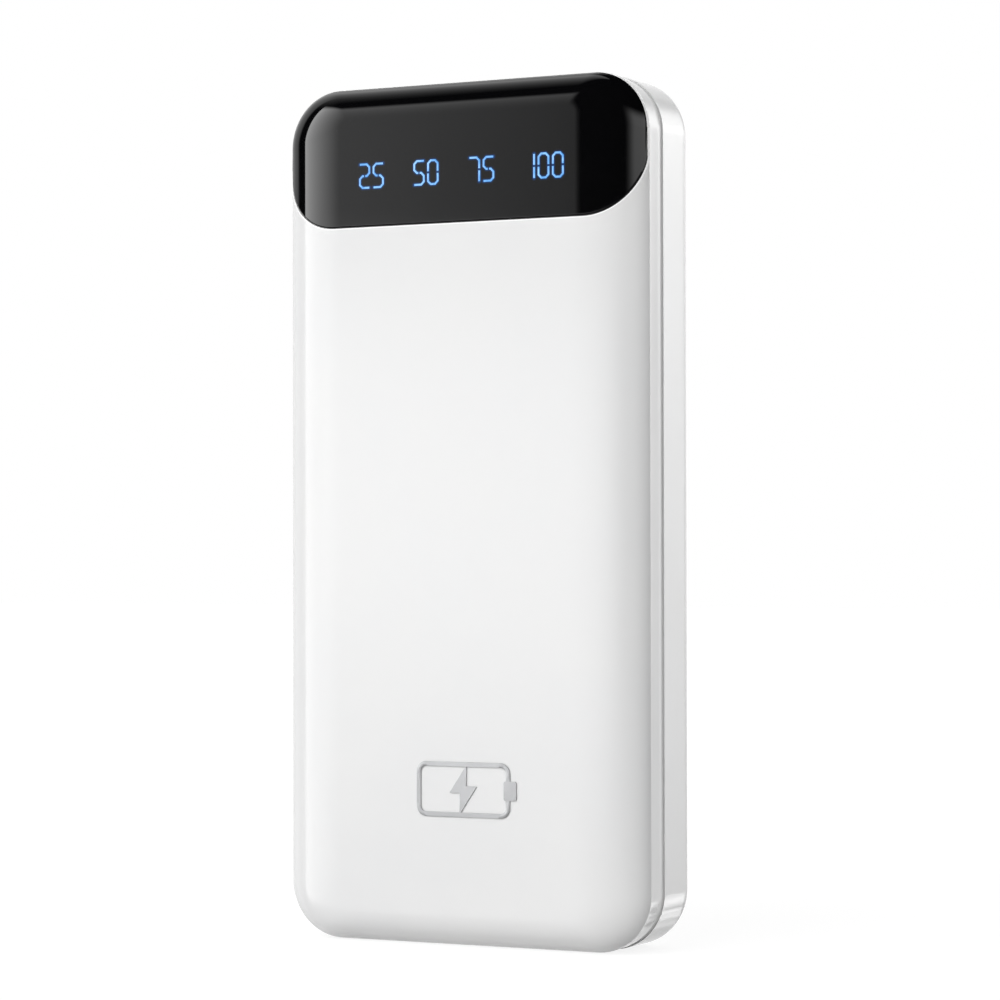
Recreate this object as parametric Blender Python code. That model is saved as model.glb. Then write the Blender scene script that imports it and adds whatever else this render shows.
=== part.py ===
"""Power bank: two pouch cells and a charging board in a two-piece moulded case.

A dark window wraps over the upper front of the case. Behind it, four lit numerals show the charge.
The front faces -Y, the back +Y, the ports are in the top end (+Z) and the button is on the left (-X).
The origin is at the middle of the bottom end, on the surface that the power bank stands on. Metres.
A depth is a distance behind the flat front face, and an inset is a distance in from the case's outline.
"""

import math

import bmesh
import bpy
from mathutils import Matrix, Vector

# Case. Its front border is an elliptical roll that meets the side wall at a crease.
WIDTH = 0.068
DEPTH = 0.021
HEIGHT = 0.145
CORNER = 0.0097
ROLL_X = 0.0115  # how far in the border reaches at the sides
ROLL_Z = 0.0055  # and at the top and bottom
ROLL_DEPTH = 0.0040
ROLL_END = math.radians(80)
ROLL_STEPS = 8
CORNER_STEPS = 8
BACK_ROUND = 0.0036
BACK_STEPS = 5
FACE_WALL = 0.0018
SIDE_WALL = 0.0022
PARTING = 0.0092
RECESS_START = 0.0070  # depth from which the front shell narrows towards the parting line
RECESS = 0.00045
LIP = 0.0012  # thickness of the front shell's lap over the rear shell's tongue
LIP_HEIGHT = 0.00115
EDGE = 0.00025
RIB_X = 0.0220  # ribs between the cells and the board
RIB_Z = 0.1135
RIB_WIDTH = 0.0140
RIB_THICKNESS = 0.0012
RIB_FRONT = 0.0120

# Gaps between neighbours, and how far a cutter reaches past the surface that it cuts
GAP = 0.0003
SEAM = 0.0002
OVERSHOOT = 0.002

# Angles between faces, for smooth shading and for bevels, and the steps of a small piece's corners
SMOOTH_BELOW = math.radians(35)
BEVEL_ABOVE = math.radians(50)
SMALL_STEPS = 4

# Window, and the display behind it. NUMERALS gives the X of each numeral's middle.
WINDOW_DROP = 0.02395
WINDOW_CORNER = 0.01015
WINDOW_SIDE = 0.00017
WINDOW_DEPTH = 0.0036
WINDOW_WALL = 0.0009
NUMERALS = {"25": -0.01607, "50": -0.00554, "75": 0.00500, "100": 0.01750}
DIGIT_HEIGHT = 0.00435
DIGIT_WIDTH = 0.00235
DIGIT_SPACE = 0.0005
STROKE = 0.00034
CHAMFER = 0.0005
BAR_GAP = 0.00025  # between the two strokes that make a middle bar
DISPLAY_X = 0.0008
DISPLAY_Z = HEIGHT - 0.0154
OPENING = (0.0420, 0.0072)
SHEET = (0.0450, 0.0094)
SHEET_THICKNESS = 0.0004
BAFFLE_CELL = (0.0088, 0.0064)
LED_SIZE = (0.0022, 0.0008, 0.0014)
LED_BEVEL = 0.00015

# Charging board, whose components stand on its back. Chips are x, z and (width, depth, height).
BOARD_FRONT = 0.0090
BOARD_THICKNESS = 0.0012
BOARD_BACK = BOARD_FRONT + BOARD_THICKNESS
BOARD_HALF_WIDTH = 0.0275
BOARD_BOTTOM = 0.1160
BOARD_TOP = 0.1422
BOARD_CORNER = 0.0030
MOUNT_DEPTH = BOARD_BACK + GAP
CHIPS = {
    "controller_ic": (0.0055, 0.1275, (0.0050, 0.0009, 0.0050)),
    "input_mosfet": (0.0040, 0.1215, (0.0032, 0.0009, 0.0030)),
    "output_mosfet": (0.0090, 0.1215, (0.0032, 0.0009, 0.0030)),
}
CAPACITOR_SIZE = (0.0032, 0.0020, 0.0025)
CAPACITORS = {
    "input_capacitor": (-0.0125, 0.1235, CAPACITOR_SIZE),
    "output_capacitor": (-0.0125, 0.1272, CAPACITOR_SIZE),
    "cell_capacitor": (0.0140, 0.1265, CAPACITOR_SIZE),
}
CHIP_BEVEL = 0.00015
INDUCTOR_X = -0.0040
INDUCTOR_Z = 0.1265
INDUCTOR_WIDTH = 0.0070
INDUCTOR_THICKNESS = 0.0038
INDUCTOR_CORNER = 0.0014
INDUCTOR_BEVEL = 0.0003
SCREW_X = 0.0200
SCREW_Z = 0.1195
SCREW_HEAD_RADIUS = 0.0019
SCREW_HEAD_HEIGHT = 0.0012
SCREW_HEAD_PROFILE = ((0, 0.6), (0.2, 0.9), (0.6, 1), (1, 1))  # shares of its height and radius
SCREW_RADIUS = 0.0010
SCREW_LENGTH = 0.0055
SCREW_TIP_RADIUS = 0.0003
CROSS_ARM = 0.0009
CROSS_HALF_WIDTH = 0.00022
CROSS_DEPTH = 0.0007
BOSS_RADIUS = 0.0027
BOSS_HOLE_DEPTH = 0.0155

# Sockets: width, thickness and length.
# Tongues: width, thickness, offset from the socket's middle, and distance behind its mouth.
PORT_FRONT = HEIGHT - 0.0010
METAL = 0.0003
USB_A_X = 0.0168
USB_A_SIZE = (0.0132, 0.0057, 0.0140)
USB_A_TONGUE = (0.0110, 0.0018, 0.0010, 0.0016)
MICRO_X = -0.0053
MICRO_SIZE = (0.0076, 0.0029, 0.0054)
MICRO_TONGUE = (0.0044, 0.0006, 0.0003, 0.0007)
MICRO_SLOPE = 0.0010
USB_C_X = 0.0047
USB_C_SIZE = (0.0090, 0.0033, 0.0074)
USB_C_TONGUE = (0.0066, 0.0007, 0.0, 0.0009)
TONGUE_ROOT = 0.0010  # how far the tongue is set into the insulator's block
BLOCK_SHARE = 0.3  # the part of the socket's length that the insulator's block fills

# Button, and the side-pressed switch behind it
BUTTON_Z = 0.1220
BUTTON_DEPTH = 0.0126
BUTTON_LENGTH = 0.0096
BUTTON_THICKNESS = 0.0038
BUTTON_PROUD = 0.0005
BUTTON_EDGE = 0.0003
FLANGE = 0.0010
FLANGE_THICKNESS = 0.0008
STEM_LENGTH = 0.0030
STEM_THICKNESS = 0.0014
STEM_END = -0.0290
SWITCH_X = -0.0254
SWITCH_SIZE = (0.0036, 0.0042, 0.0060)
PLUNGER_HALF = (0.0007, 0.0013)
PLUNGER_LENGTH = 0.0027
POCKET_DEPTH = 0.0020

# Pouch cells, given by the depth of their front faces, and the pieces that hold and join them
CELL_DEPTHS = {"front_cell": 0.0032, "rear_cell": 0.0115}
CELL_HALF_WIDTH = 0.0290
CELL_BOTTOM = 0.0050
CELL_TOP = 0.1050
CELL_THICKNESS = 0.0072
CELL_CORNER = 0.0025
CELL_EDGE = 0.0010
SEAL_HALF_WIDTH = 0.0270
SEAL_TOP = 0.1105
SEAL_THICKNESS = 0.0006
PAD_SIZE = (0.0440, 0.0008, 0.0900)
TAPE_SIZE = (0.0480, 0.0005, 0.0880)
STRIP_X = 0.0085
STRIP_WIDTH = 0.0070
STRIP_THICKNESS = 0.0004
STRIP_TOP = 0.1134
WIRE_RADIUS = 0.0007
WIRE_DEPTH = 0.0135
WIRE_PAD_Z = 0.1186
WIRE_POINTS = 9

# Emblem on the lower front: a battery outline with a bolt across it
EMBLEM_X = 0.0014
EMBLEM_Z = 0.0263
EMBLEM_HALF = (0.0088, 0.0046)
EMBLEM_CORNER = 0.0018
EMBLEM_BAR = 0.0008
EMBLEM_THICKNESS = 0.00015
EMBLEM_GAP = 0.00005
TERMINAL_HALF = (0.0012, 0.0016)
BOLT_HALF_HEIGHT = 0.0042
BOLT_SLANT = 0.0007
BOLT_HALF_WIDTH = 0.0026
BOLT_NOTCH = 0.0006

# A prism's outline (a, b) and its axis give each point
AXES = {
    "X": lambda along, a, b: (along, a, b),
    "Y": lambda along, a, b: (a, along, b),
    "Z": lambda along, a, b: (a, b, along),
}


def clear_scene():
    for obj in list(bpy.data.objects):
        bpy.data.objects.remove(obj)


def at(depth):
    """Y of the plane this far behind the front face."""
    return depth - DEPTH / 2


def material(name, colour, roughness, metallic=0.0, emission=0.0):
    made = bpy.data.materials.new(name)
    made.use_nodes = True
    shader = made.node_tree.nodes["Principled BSDF"]
    shader.inputs["Base Color"].default_value = (*colour, 1)
    shader.inputs["Roughness"].default_value = roughness
    shader.inputs["Metallic"].default_value = metallic
    shader.inputs["Emission Color"].default_value = (*colour, 1)
    shader.inputs["Emission Strength"].default_value = emission
    made.diffuse_color = (*colour, 1)
    return made


def add_object(name, draw, finish, parent, location=(0, 0, 0)):
    """Makes a mesh object from what draw adds to an empty bmesh, in the object's own frame."""
    bm = bmesh.new()
    draw(bm)
    bmesh.ops.recalc_face_normals(bm, faces=bm.faces)
    mesh = bpy.data.meshes.new(name)
    bm.to_mesh(mesh)
    bm.free()
    mesh.shade_smooth()
    mesh.set_sharp_from_angle(angle=SMOOTH_BELOW)
    if finish:
        mesh.materials.append(finish)
    obj = bpy.data.objects.new(name, mesh)
    bpy.context.scene.collection.objects.link(obj)
    obj.parent = parent
    obj.location = location
    return obj


def add_tool(name, draw, parent, location=(0, 0, 0)):
    """A helper that only cuts or joins."""
    tool = add_object(name, draw, None, parent, location)
    tool.hide_render = True
    tool.display_type = "WIRE"
    return tool


def combine(obj, operation, *tools):
    for tool in tools:
        boolean = obj.modifiers.new(operation.title(), "BOOLEAN")
        boolean.operation = operation
        boolean.object = tool


def add_bevel(obj, width, segments=2):
    bevel = obj.modifiers.new("Bevel", "BEVEL")
    bevel.width = width
    bevel.segments = segments
    bevel.limit_method = "ANGLE"
    bevel.angle_limit = BEVEL_ABOVE


def block(bm, low, high):
    """A box between two corners."""
    size = Vector(high) - Vector(low)
    middle = (Vector(high) + Vector(low)) / 2
    matrix = Matrix.Translation(middle) @ Matrix.Diagonal((*size, 1))
    bmesh.ops.create_cube(bm, size=1, matrix=matrix)


def centred_block(bm, size):
    block(bm, [-side / 2 for side in size], [side / 2 for side in size])


def skin(bm, loops, ends=True):
    """Joins each loop of vertices to the next. The ends are closed by faces, or joined to each other."""
    pairs = list(zip(loops, loops[1:]))
    if ends:
        bm.faces.new(loops[0])
        bm.faces.new(loops[-1])
    else:
        pairs.append((loops[-1], loops[0]))
    for first, second in pairs:
        for i in range(len(first)):
            j = (i + 1) % len(first)
            bm.faces.new((first[i], first[j], second[j], second[i]))


def loft(bm, rings, ends=True):
    skin(bm, [[bm.verts.new(point) for point in ring] for ring in rings], ends)


def ring(axis, along, outline):
    return [AXES[axis](along, a, b) for a, b in outline]


def prism(bm, axis, outline, low, high):
    loft(bm, [ring(axis, low, outline), ring(axis, high, outline)])


def tube(bm, axis, outer, inner, low, high):
    """An open-ended tube between two outlines with the same number of points."""
    corners = ((low, outer), (high, outer), (high, inner), (low, inner))
    loft(bm, [ring(axis, along, outline) for along, outline in corners], ends=False)


def rounded(half_a, half_b, radius_a, radius_b, steps=CORNER_STEPS):
    """Points round a rectangle with elliptical corners, anticlockwise from its +a side."""
    points = []
    for quarter in range(4):
        sign_a = 1 if quarter in (0, 3) else -1
        sign_b = 1 if quarter in (0, 1) else -1
        for step in range(steps + 1):
            angle = math.radians(90 * (quarter + step / steps))
            a = sign_a * (half_a - radius_a) + radius_a * math.cos(angle)
            b = sign_b * (half_b - radius_b) + radius_b * math.sin(angle)
            points.append((a, b))
    return points


def pill(half_a, half_b, steps=12):
    """Two half circles at +b and -b, joined by straight sides."""
    points = []
    for end in (0, 1):
        middle = (half_b - half_a) * (1 - 2 * end)
        for step in range(steps + 1):
            angle = math.pi * (end + step / steps)
            points.append((half_a * math.cos(angle), middle + half_a * math.sin(angle)))
    return points


def rectangle(half_a, half_b):
    return [(half_a, half_b), (-half_a, half_b), (-half_a, -half_b), (half_a, -half_b)]


def circle(radius, steps=16):
    angles = [2 * math.pi * step / steps for step in range(steps)]
    return [(radius * math.cos(angle), radius * math.sin(angle)) for angle in angles]


# The case's surfaces


def case_ring(depth, inset_x, inset_z, shrink_x, shrink_z):
    """The case's outline at a depth, inset, with its corner radii made smaller."""
    half_width = WIDTH / 2 - inset_x
    half_height = HEIGHT / 2 - inset_z
    outline = rounded(half_width, half_height, CORNER - shrink_x, CORNER - shrink_z)
    return [(x, at(depth), HEIGHT / 2 + z) for x, z in outline]


def wall_ring(depth, inset):
    return case_ring(depth, inset, inset, inset, inset)


def front_rings(side, face):
    """The front's rounded border, from its flat face to the crease at the wall, offset inwards."""
    rings = []
    for step in range(ROLL_STEPS + 1):
        angle = ROLL_END * step / ROLL_STEPS
        out = math.sin(angle) / math.sin(ROLL_END)
        rise = 1 - (1 - math.cos(angle)) / (1 - math.cos(ROLL_END))
        drop_x = ROLL_X * (1 - out)
        drop_z = ROLL_Z * (1 - out)
        shrink_x = CORNER * drop_x / (WIDTH / 2)
        shrink_z = CORNER * drop_z / (HEIGHT / 2)
        sizes = (drop_x, drop_z, shrink_x, shrink_z)
        depth = ROLL_DEPTH - (ROLL_DEPTH - face) * rise
        rings.append(case_ring(depth, *(size + side * out for size in sizes)))
    return rings


def back_rings(side, face):
    """The back's rounded edge, from the side wall to the flat back, offset inwards."""
    rings = []
    for step in range(BACK_STEPS + 1):
        angle = math.radians(90 * step / BACK_STEPS)
        inset = BACK_ROUND - (BACK_ROUND - side) * math.cos(angle)
        depth = DEPTH - BACK_ROUND + (BACK_ROUND - face) * math.sin(angle)
        rings.append(wall_ring(depth, inset))
    return rings


def window_outline(grow):
    """The window's bottom edge and its two round corners, seen from the front, and open above the case."""
    half_width = WIDTH / 2 - WINDOW_SIDE + grow
    bottom = HEIGHT - WINDOW_DROP - grow
    radius = WINDOW_CORNER + grow
    points = [(half_width, HEIGHT + OVERSHOOT), (-half_width, HEIGHT + OVERSHOOT)]
    for side, start in ((-1, 180), (1, 270)):
        for step in range(CORNER_STEPS + 1):
            angle = math.radians(start + 90 * step / CORNER_STEPS)
            x = side * (half_width - radius) + radius * math.cos(angle)
            points.append((x, bottom + radius + radius * math.sin(angle)))
    return points


def front_block(name, side, face, root):
    """A solid inside the front border offset inwards, back to the parting line."""
    rings = front_rings(side, face) + [wall_ring(PARTING, side)]
    return add_tool(name, lambda bm: loft(bm, rings), root)


def window_prism(bm, grow):
    """The space in front of the case inside the window's outline, back to the window's rear edge."""
    prism(bm, "Y", window_outline(grow), at(-OVERSHOOT), at(WINDOW_DEPTH + grow))


# Numerals


def digit_strokes(digit, left, middle):
    """The upper and lower strokes of a digit, as open lines with chamfered corners.

    Each line is a list of (x, z) points. The two lines nearly meet at mid-height.
    """
    right = left + DIGIT_WIDTH - STROKE
    centre = (left + right) / 2
    top = DIGIT_HEIGHT / 2 - STROKE / 2
    split = STROKE / 2
    cut = CHAMFER
    if digit == "1":
        return [[(left, middle + sign * top), (left, middle + sign * split)] for sign in (1, -1)]

    def bar_and_side(near, far, up):
        """From the outer bar's near end round the far corner, down the far side, to the middle."""
        inward = math.copysign(cut, near - far)
        bar = [(near, up * top), (far + inward, up * top), (far, up * (top - cut))]
        return bar, inward

    lines = []
    for up in (1, -1):
        if digit == "0":
            line = [(left, up * split), (left, up * (top - cut)), (left + cut, up * top)]
            line += [(right - cut, up * top), (right, up * (top - cut)), (right, up * split)]
        elif digit == "7" and up < 0:
            line = [(right, -split), (right, -top)]
        else:
            turns_right = (digit == "2") == (up > 0) or digit == "7"
            near, far = (left, right) if turns_right else (right, left)
            line, inward = bar_and_side(near, far, up)
            if digit == "7":
                line.append((far, split))
            else:
                bar_end = centre - math.copysign(BAR_GAP / 2, inward)
                line += [(far, up * cut), (far + inward, 0), (bar_end, 0)]
        lines.append([(x, middle + z) for x, z in line])
    return lines


def numeral_strokes(numeral, middle_x, middle_z):
    widths = [STROKE if digit == "1" else DIGIT_WIDTH for digit in numeral]
    left = middle_x - (sum(widths) + DIGIT_SPACE * (len(widths) - 1)) / 2
    strokes = []
    for digit, width in zip(numeral, widths):
        strokes += digit_strokes(digit, left + STROKE / 2, middle_z)
        left += width + DIGIT_SPACE
    return strokes


def thick_line(points, thickness):
    """The outline of a line of constant thickness, with mitred corners and square ends."""
    points = [Vector(point) for point in points]
    steps = [(b - a).normalized() for a, b in zip(points, points[1:])]
    before = [steps[0]] + steps
    after = steps + [steps[-1]]
    offsets = []
    for first, second in zip(before, after):
        along = (first + second).normalized()
        reach = thickness / 2 / along.dot(first)
        offsets.append(Vector((-along.y, along.x)) * reach)
    left = [point + offset for point, offset in zip(points, offsets)]
    right = [point - offset for point, offset in zip(points, offsets)]
    return [tuple(point) for point in left + right[::-1]]


# Port and button outlines


def usb_a_outline(size, grow):
    return rectangle(size[0] / 2 + grow, size[1] / 2 + grow)


def usb_c_outline(size, grow):
    """A flat pill along X."""
    return [(a, -b) for b, a in pill(size[1] / 2 + grow, size[0] / 2 + grow)]


def micro_outline(size, grow):
    """A flat shape whose side away from the board has slanted corners."""
    half_width, half_height = size[0] / 2 + grow, size[1] / 2 + grow
    slope_start = (half_width, half_height - MICRO_SLOPE)
    slope_end = (half_width - MICRO_SLOPE, half_height)
    right = [(half_width, -half_height), slope_start, slope_end]
    return right + [(-a, b) for a, b in reversed(right)]


PORTS = {
    "usb_a_left": (-USB_A_X, USB_A_SIZE, USB_A_TONGUE, usb_a_outline),
    "usb_a_right": (USB_A_X, USB_A_SIZE, USB_A_TONGUE, usb_a_outline),
    "micro_usb": (MICRO_X, MICRO_SIZE, MICRO_TONGUE, micro_outline),
    "usb_c": (USB_C_X, USB_C_SIZE, USB_C_TONGUE, usb_c_outline),
}


def button_outline(grow):
    """(y, z) outline of the button's head."""
    return pill(BUTTON_THICKNESS / 2 + grow, BUTTON_LENGTH / 2 + grow)


# Case pieces


def build_front_shell(finish, root):
    lap = PARTING - GAP / 2
    rings = front_rings(0, 0)
    rings.append(wall_ring(RECESS_START, 0))
    rings.append(wall_ring(lap, RECESS))
    rings.append(wall_ring(lap, LIP))
    rings.append(wall_ring(lap - LIP_HEIGHT, LIP))
    rings.append(wall_ring(lap - LIP_HEIGHT, SIDE_WALL))
    rings += reversed(front_rings(SIDE_WALL, FACE_WALL))
    shell = add_object("front_shell", lambda bm: loft(bm, rings), finish, root)

    pocket = add_tool("window_pocket", lambda bm: window_prism(bm, SEAM), root)
    floor = WINDOW_WALL + SEAM
    combine(pocket, "DIFFERENCE", front_block("pocket_floor", floor, floor, root))
    half_width, half_height = OPENING[0] / 2, OPENING[1] / 2
    opening = add_tool(
        "display_opening",
        lambda bm: prism(bm, "Y", rectangle(half_width, half_height), at(0), at(FACE_WALL + OVERSHOOT)),
        root,
        (DISPLAY_X, 0, DISPLAY_Z),
    )
    combine(shell, "DIFFERENCE", pocket, opening)


def build_window(finish, root):
    window = add_object("display_window", lambda bm: window_prism(bm, 0), finish, root)
    combine(window, "DIFFERENCE", front_block("window_back", WINDOW_WALL, WINDOW_WALL, root))
    combine(window, "INTERSECT", front_block("window_face", 0, 0, root))


def build_emblem(finish, root):
    half_width, half_height = EMBLEM_HALF
    outer = rounded(half_width, half_height, EMBLEM_CORNER, EMBLEM_CORNER)
    inner_corner = EMBLEM_CORNER - EMBLEM_BAR
    inner = rounded(half_width - EMBLEM_BAR, half_height - EMBLEM_BAR, inner_corner, inner_corner)
    bolt = [
        (BOLT_SLANT, BOLT_HALF_HEIGHT),
        (-BOLT_HALF_WIDTH, -BOLT_NOTCH),
        (-BOLT_NOTCH, -BOLT_NOTCH),
        (-BOLT_SLANT, -BOLT_HALF_HEIGHT),
        (BOLT_HALF_WIDTH, BOLT_NOTCH),
        (BOLT_NOTCH, BOLT_NOTCH),
    ]
    low, high = at(-EMBLEM_GAP - EMBLEM_THICKNESS), at(-EMBLEM_GAP)
    place = (EMBLEM_X, 0, EMBLEM_Z)
    emblem = add_object(
        "battery_emblem", lambda bm: tube(bm, "Y", outer, inner, low, high), finish, root, place
    )
    terminal = add_tool(
        "emblem_terminal",
        lambda bm: prism(bm, "Y", rectangle(*TERMINAL_HALF), low, high),
        root,
        (EMBLEM_X + half_width, 0, EMBLEM_Z),
    )
    filled = add_tool("emblem_bolt", lambda bm: prism(bm, "Y", bolt, low, high), root, place)
    combine(emblem, "UNION", terminal, filled)


def build_rear_shell(finish, root):
    lap = PARTING + GAP / 2
    inner_back = DEPTH - FACE_WALL
    rings = back_rings(0, 0)[::-1]
    rings.append(wall_ring(lap + EDGE, 0))
    rings.append(wall_ring(lap, EDGE))
    rings.append(wall_ring(lap, LIP + GAP))
    rings.append(wall_ring(lap - LIP_HEIGHT, LIP + GAP))
    rings.append(wall_ring(lap - LIP_HEIGHT, SIDE_WALL))
    rings += back_rings(SIDE_WALL, FACE_WALL)
    shell = add_object("rear_shell", lambda bm: loft(bm, rings), finish, root)

    for side in (-1, 1):
        place = (side * SCREW_X, 0, SCREW_Z)
        low, high = at(MOUNT_DEPTH), at(inner_back + EDGE)
        boss = add_tool("boss", lambda bm: prism(bm, "Y", circle(BOSS_RADIUS), low, high), root, place)
        low, high = at(BOARD_FRONT), at(BOSS_HOLE_DEPTH)
        hole = add_tool(
            "boss_hole", lambda bm: prism(bm, "Y", circle(SCREW_RADIUS + GAP), low, high), root, place
        )
        rib = add_tool(
            "board_rib",
            lambda bm: centred_block(bm, (RIB_WIDTH, inner_back + EDGE - RIB_FRONT, RIB_THICKNESS)),
            root,
            (side * RIB_X, at((RIB_FRONT + inner_back + EDGE) / 2), RIB_Z),
        )
        combine(shell, "UNION", boss, rib)
        combine(shell, "DIFFERENCE", hole)

    for name, (x, size, _, outline) in PORTS.items():
        hole = add_tool(
            name + "_hole",
            lambda bm: prism(bm, "Z", outline(size, GAP), -SIDE_WALL - OVERSHOOT, OVERSHOOT),
            root,
            (x, at(MOUNT_DEPTH + size[1] / 2), HEIGHT),
        )
        combine(shell, "DIFFERENCE", hole)

    button_hole = add_tool(
        "button_hole",
        lambda bm: prism(bm, "X", button_outline(SEAM), -OVERSHOOT, SIDE_WALL + OVERSHOOT),
        root,
        (-WIDTH / 2, at(BUTTON_DEPTH), BUTTON_Z),
    )
    combine(shell, "DIFFERENCE", button_hole)


# Display pieces


def sheet_block(bm, front, thickness, size):
    block(bm, (-size[0] / 2, at(front), -size[1] / 2), (size[0] / 2, at(front + thickness), size[1] / 2))


def build_display(finishes, root):
    """From the front: a mask with the numerals cut out, a diffuser, and a light box over the LEDs."""
    place = (DISPLAY_X, 0, DISPLAY_Z)
    mask_front = FACE_WALL + GAP
    diffuser_front = mask_front + SHEET_THICKNESS + GAP
    baffle_front = diffuser_front + SHEET_THICKNESS + GAP
    mask = add_object(
        "numeral_mask",
        lambda bm: sheet_block(bm, mask_front, SHEET_THICKNESS, SHEET),
        finishes["black"],
        root,
        place,
    )

    def slots(bm):
        for numeral, x in NUMERALS.items():
            for line in numeral_strokes(numeral, x, DISPLAY_Z):
                prism(bm, "Y", thick_line(line, STROKE), at(FACE_WALL), at(diffuser_front))

    combine(mask, "DIFFERENCE", add_tool("numeral_slots", slots, root))
    add_object(
        "diffuser",
        lambda bm: sheet_block(bm, diffuser_front, SHEET_THICKNESS, SHEET),
        finishes["milky"],
        root,
        place,
    )
    depth = BOARD_FRONT - GAP - baffle_front
    baffle = add_object(
        "light_baffle",
        lambda bm: sheet_block(bm, baffle_front, depth, SHEET),
        finishes["white_plastic"],
        root,
        place,
    )
    width, height = BAFFLE_CELL
    for numeral, x in NUMERALS.items():
        cell = add_tool(
            "baffle_cell_" + numeral,
            lambda bm: prism(bm, "Y", rectangle(width / 2, height / 2), at(mask_front), at(BOARD_FRONT)),
            root,
            (x, 0, DISPLAY_Z),
        )
        combine(baffle, "DIFFERENCE", cell)
        led = add_object(
            "led_" + numeral,
            lambda bm: centred_block(bm, LED_SIZE),
            finishes["led"],
            root,
            (x, at(BOARD_FRONT - GAP - LED_SIZE[1] / 2), DISPLAY_Z),
        )
        add_bevel(led, LED_BEVEL)


# Board pieces


def build_board(finishes, root):
    half_height = (BOARD_TOP - BOARD_BOTTOM) / 2
    outline = rounded(BOARD_HALF_WIDTH, half_height, BOARD_CORNER, BOARD_CORNER, SMALL_STEPS)
    place = (0, at(BOARD_FRONT), BOARD_BOTTOM + half_height)
    board = add_object(
        "main_board", lambda bm: prism(bm, "Y", outline, 0, BOARD_THICKNESS), finishes["board"], root, place
    )
    for side, word in ((-1, "left"), (1, "right")):
        low, high = at(BOARD_FRONT - OVERSHOOT), at(BOARD_BACK + OVERSHOOT)
        hole = add_tool(
            "board_hole",
            lambda bm: prism(bm, "Y", circle(SCREW_RADIUS + GAP), low, high),
            root,
            (side * SCREW_X, 0, SCREW_Z),
        )
        combine(board, "DIFFERENCE", hole)
        build_screw("board_screw_" + word, finishes["screw"], root, side * SCREW_X)

    for group, finish in ((CHIPS, "chip"), (CAPACITORS, "capacitor")):
        for name, (x, z, size) in group.items():
            place = (x, at(MOUNT_DEPTH + size[1] / 2), z)
            chip = add_object(name, lambda bm: centred_block(bm, size), finishes[finish], root, place)
            add_bevel(chip, CHIP_BEVEL, 1)
    half = INDUCTOR_WIDTH / 2
    outline = rounded(half, half, INDUCTOR_CORNER, INDUCTOR_CORNER, SMALL_STEPS)
    inductor = add_object(
        "boost_inductor",
        lambda bm: prism(bm, "Y", outline, 0, INDUCTOR_THICKNESS),
        finishes["ferrite"],
        root,
        (INDUCTOR_X, at(MOUNT_DEPTH), INDUCTOR_Z),
    )
    add_bevel(inductor, INDUCTOR_BEVEL)


def build_screw(name, finish, root, x):
    """A pan-head screw that points backwards, with its origin at the top of its head."""
    seat = SCREW_HEAD_HEIGHT
    tip = seat + SCREW_LENGTH
    profile = [(seat * along, SCREW_HEAD_RADIUS * out) for along, out in SCREW_HEAD_PROFILE]
    profile += [(seat, SCREW_RADIUS), (tip - SCREW_RADIUS, SCREW_RADIUS), (tip, SCREW_TIP_RADIUS)]
    rings = [ring("Y", along, circle(radius)) for along, radius in profile]
    place = (x, at(BOARD_FRONT - GAP - seat), SCREW_Z)
    screw = add_object(name, lambda bm: loft(bm, rings), finish, root, place)

    arm, half = CROSS_ARM, CROSS_HALF_WIDTH
    quarter = [(arm, -half), (arm, half), (half, half)]
    cross = []
    for _ in range(4):
        cross += quarter
        quarter = [(-b, a) for a, b in quarter]
    recess = add_tool(
        name + "_recess", lambda bm: prism(bm, "Y", cross, -OVERSHOOT, CROSS_DEPTH), root, place
    )
    combine(screw, "DIFFERENCE", recess)


# Ports


def build_port(name, finishes, root):
    """A socket's steel shell, and the insulator inside it: a block at the back with a tongue."""
    x, size, tongue_size, outline = PORTS[name]
    length = size[2]
    place = (x, at(MOUNT_DEPTH + size[1] / 2), PORT_FRONT)
    outer, inner = outline(size, 0), outline(size, -METAL)
    add_object(
        name + "_shell",
        lambda bm: tube(bm, "Z", outer, inner, -length, 0),
        finishes["steel"],
        root,
        place,
    )
    fitted = outline(size, -METAL - GAP)
    block_top = length * (BLOCK_SHARE - 1)
    insulator = add_object(
        name + "_insulator",
        lambda bm: prism(bm, "Z", fitted, -length, block_top),
        finishes["insulator"],
        root,
        place,
    )
    width, thickness, offset, setback = tongue_size
    low = (-width / 2, offset - thickness / 2, block_top - TONGUE_ROOT)
    high = (width / 2, offset + thickness / 2, -setback)
    tongue = add_tool(name + "_tongue", lambda bm: block(bm, low, high), root, place)
    combine(insulator, "UNION", tongue)


# Button


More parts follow.
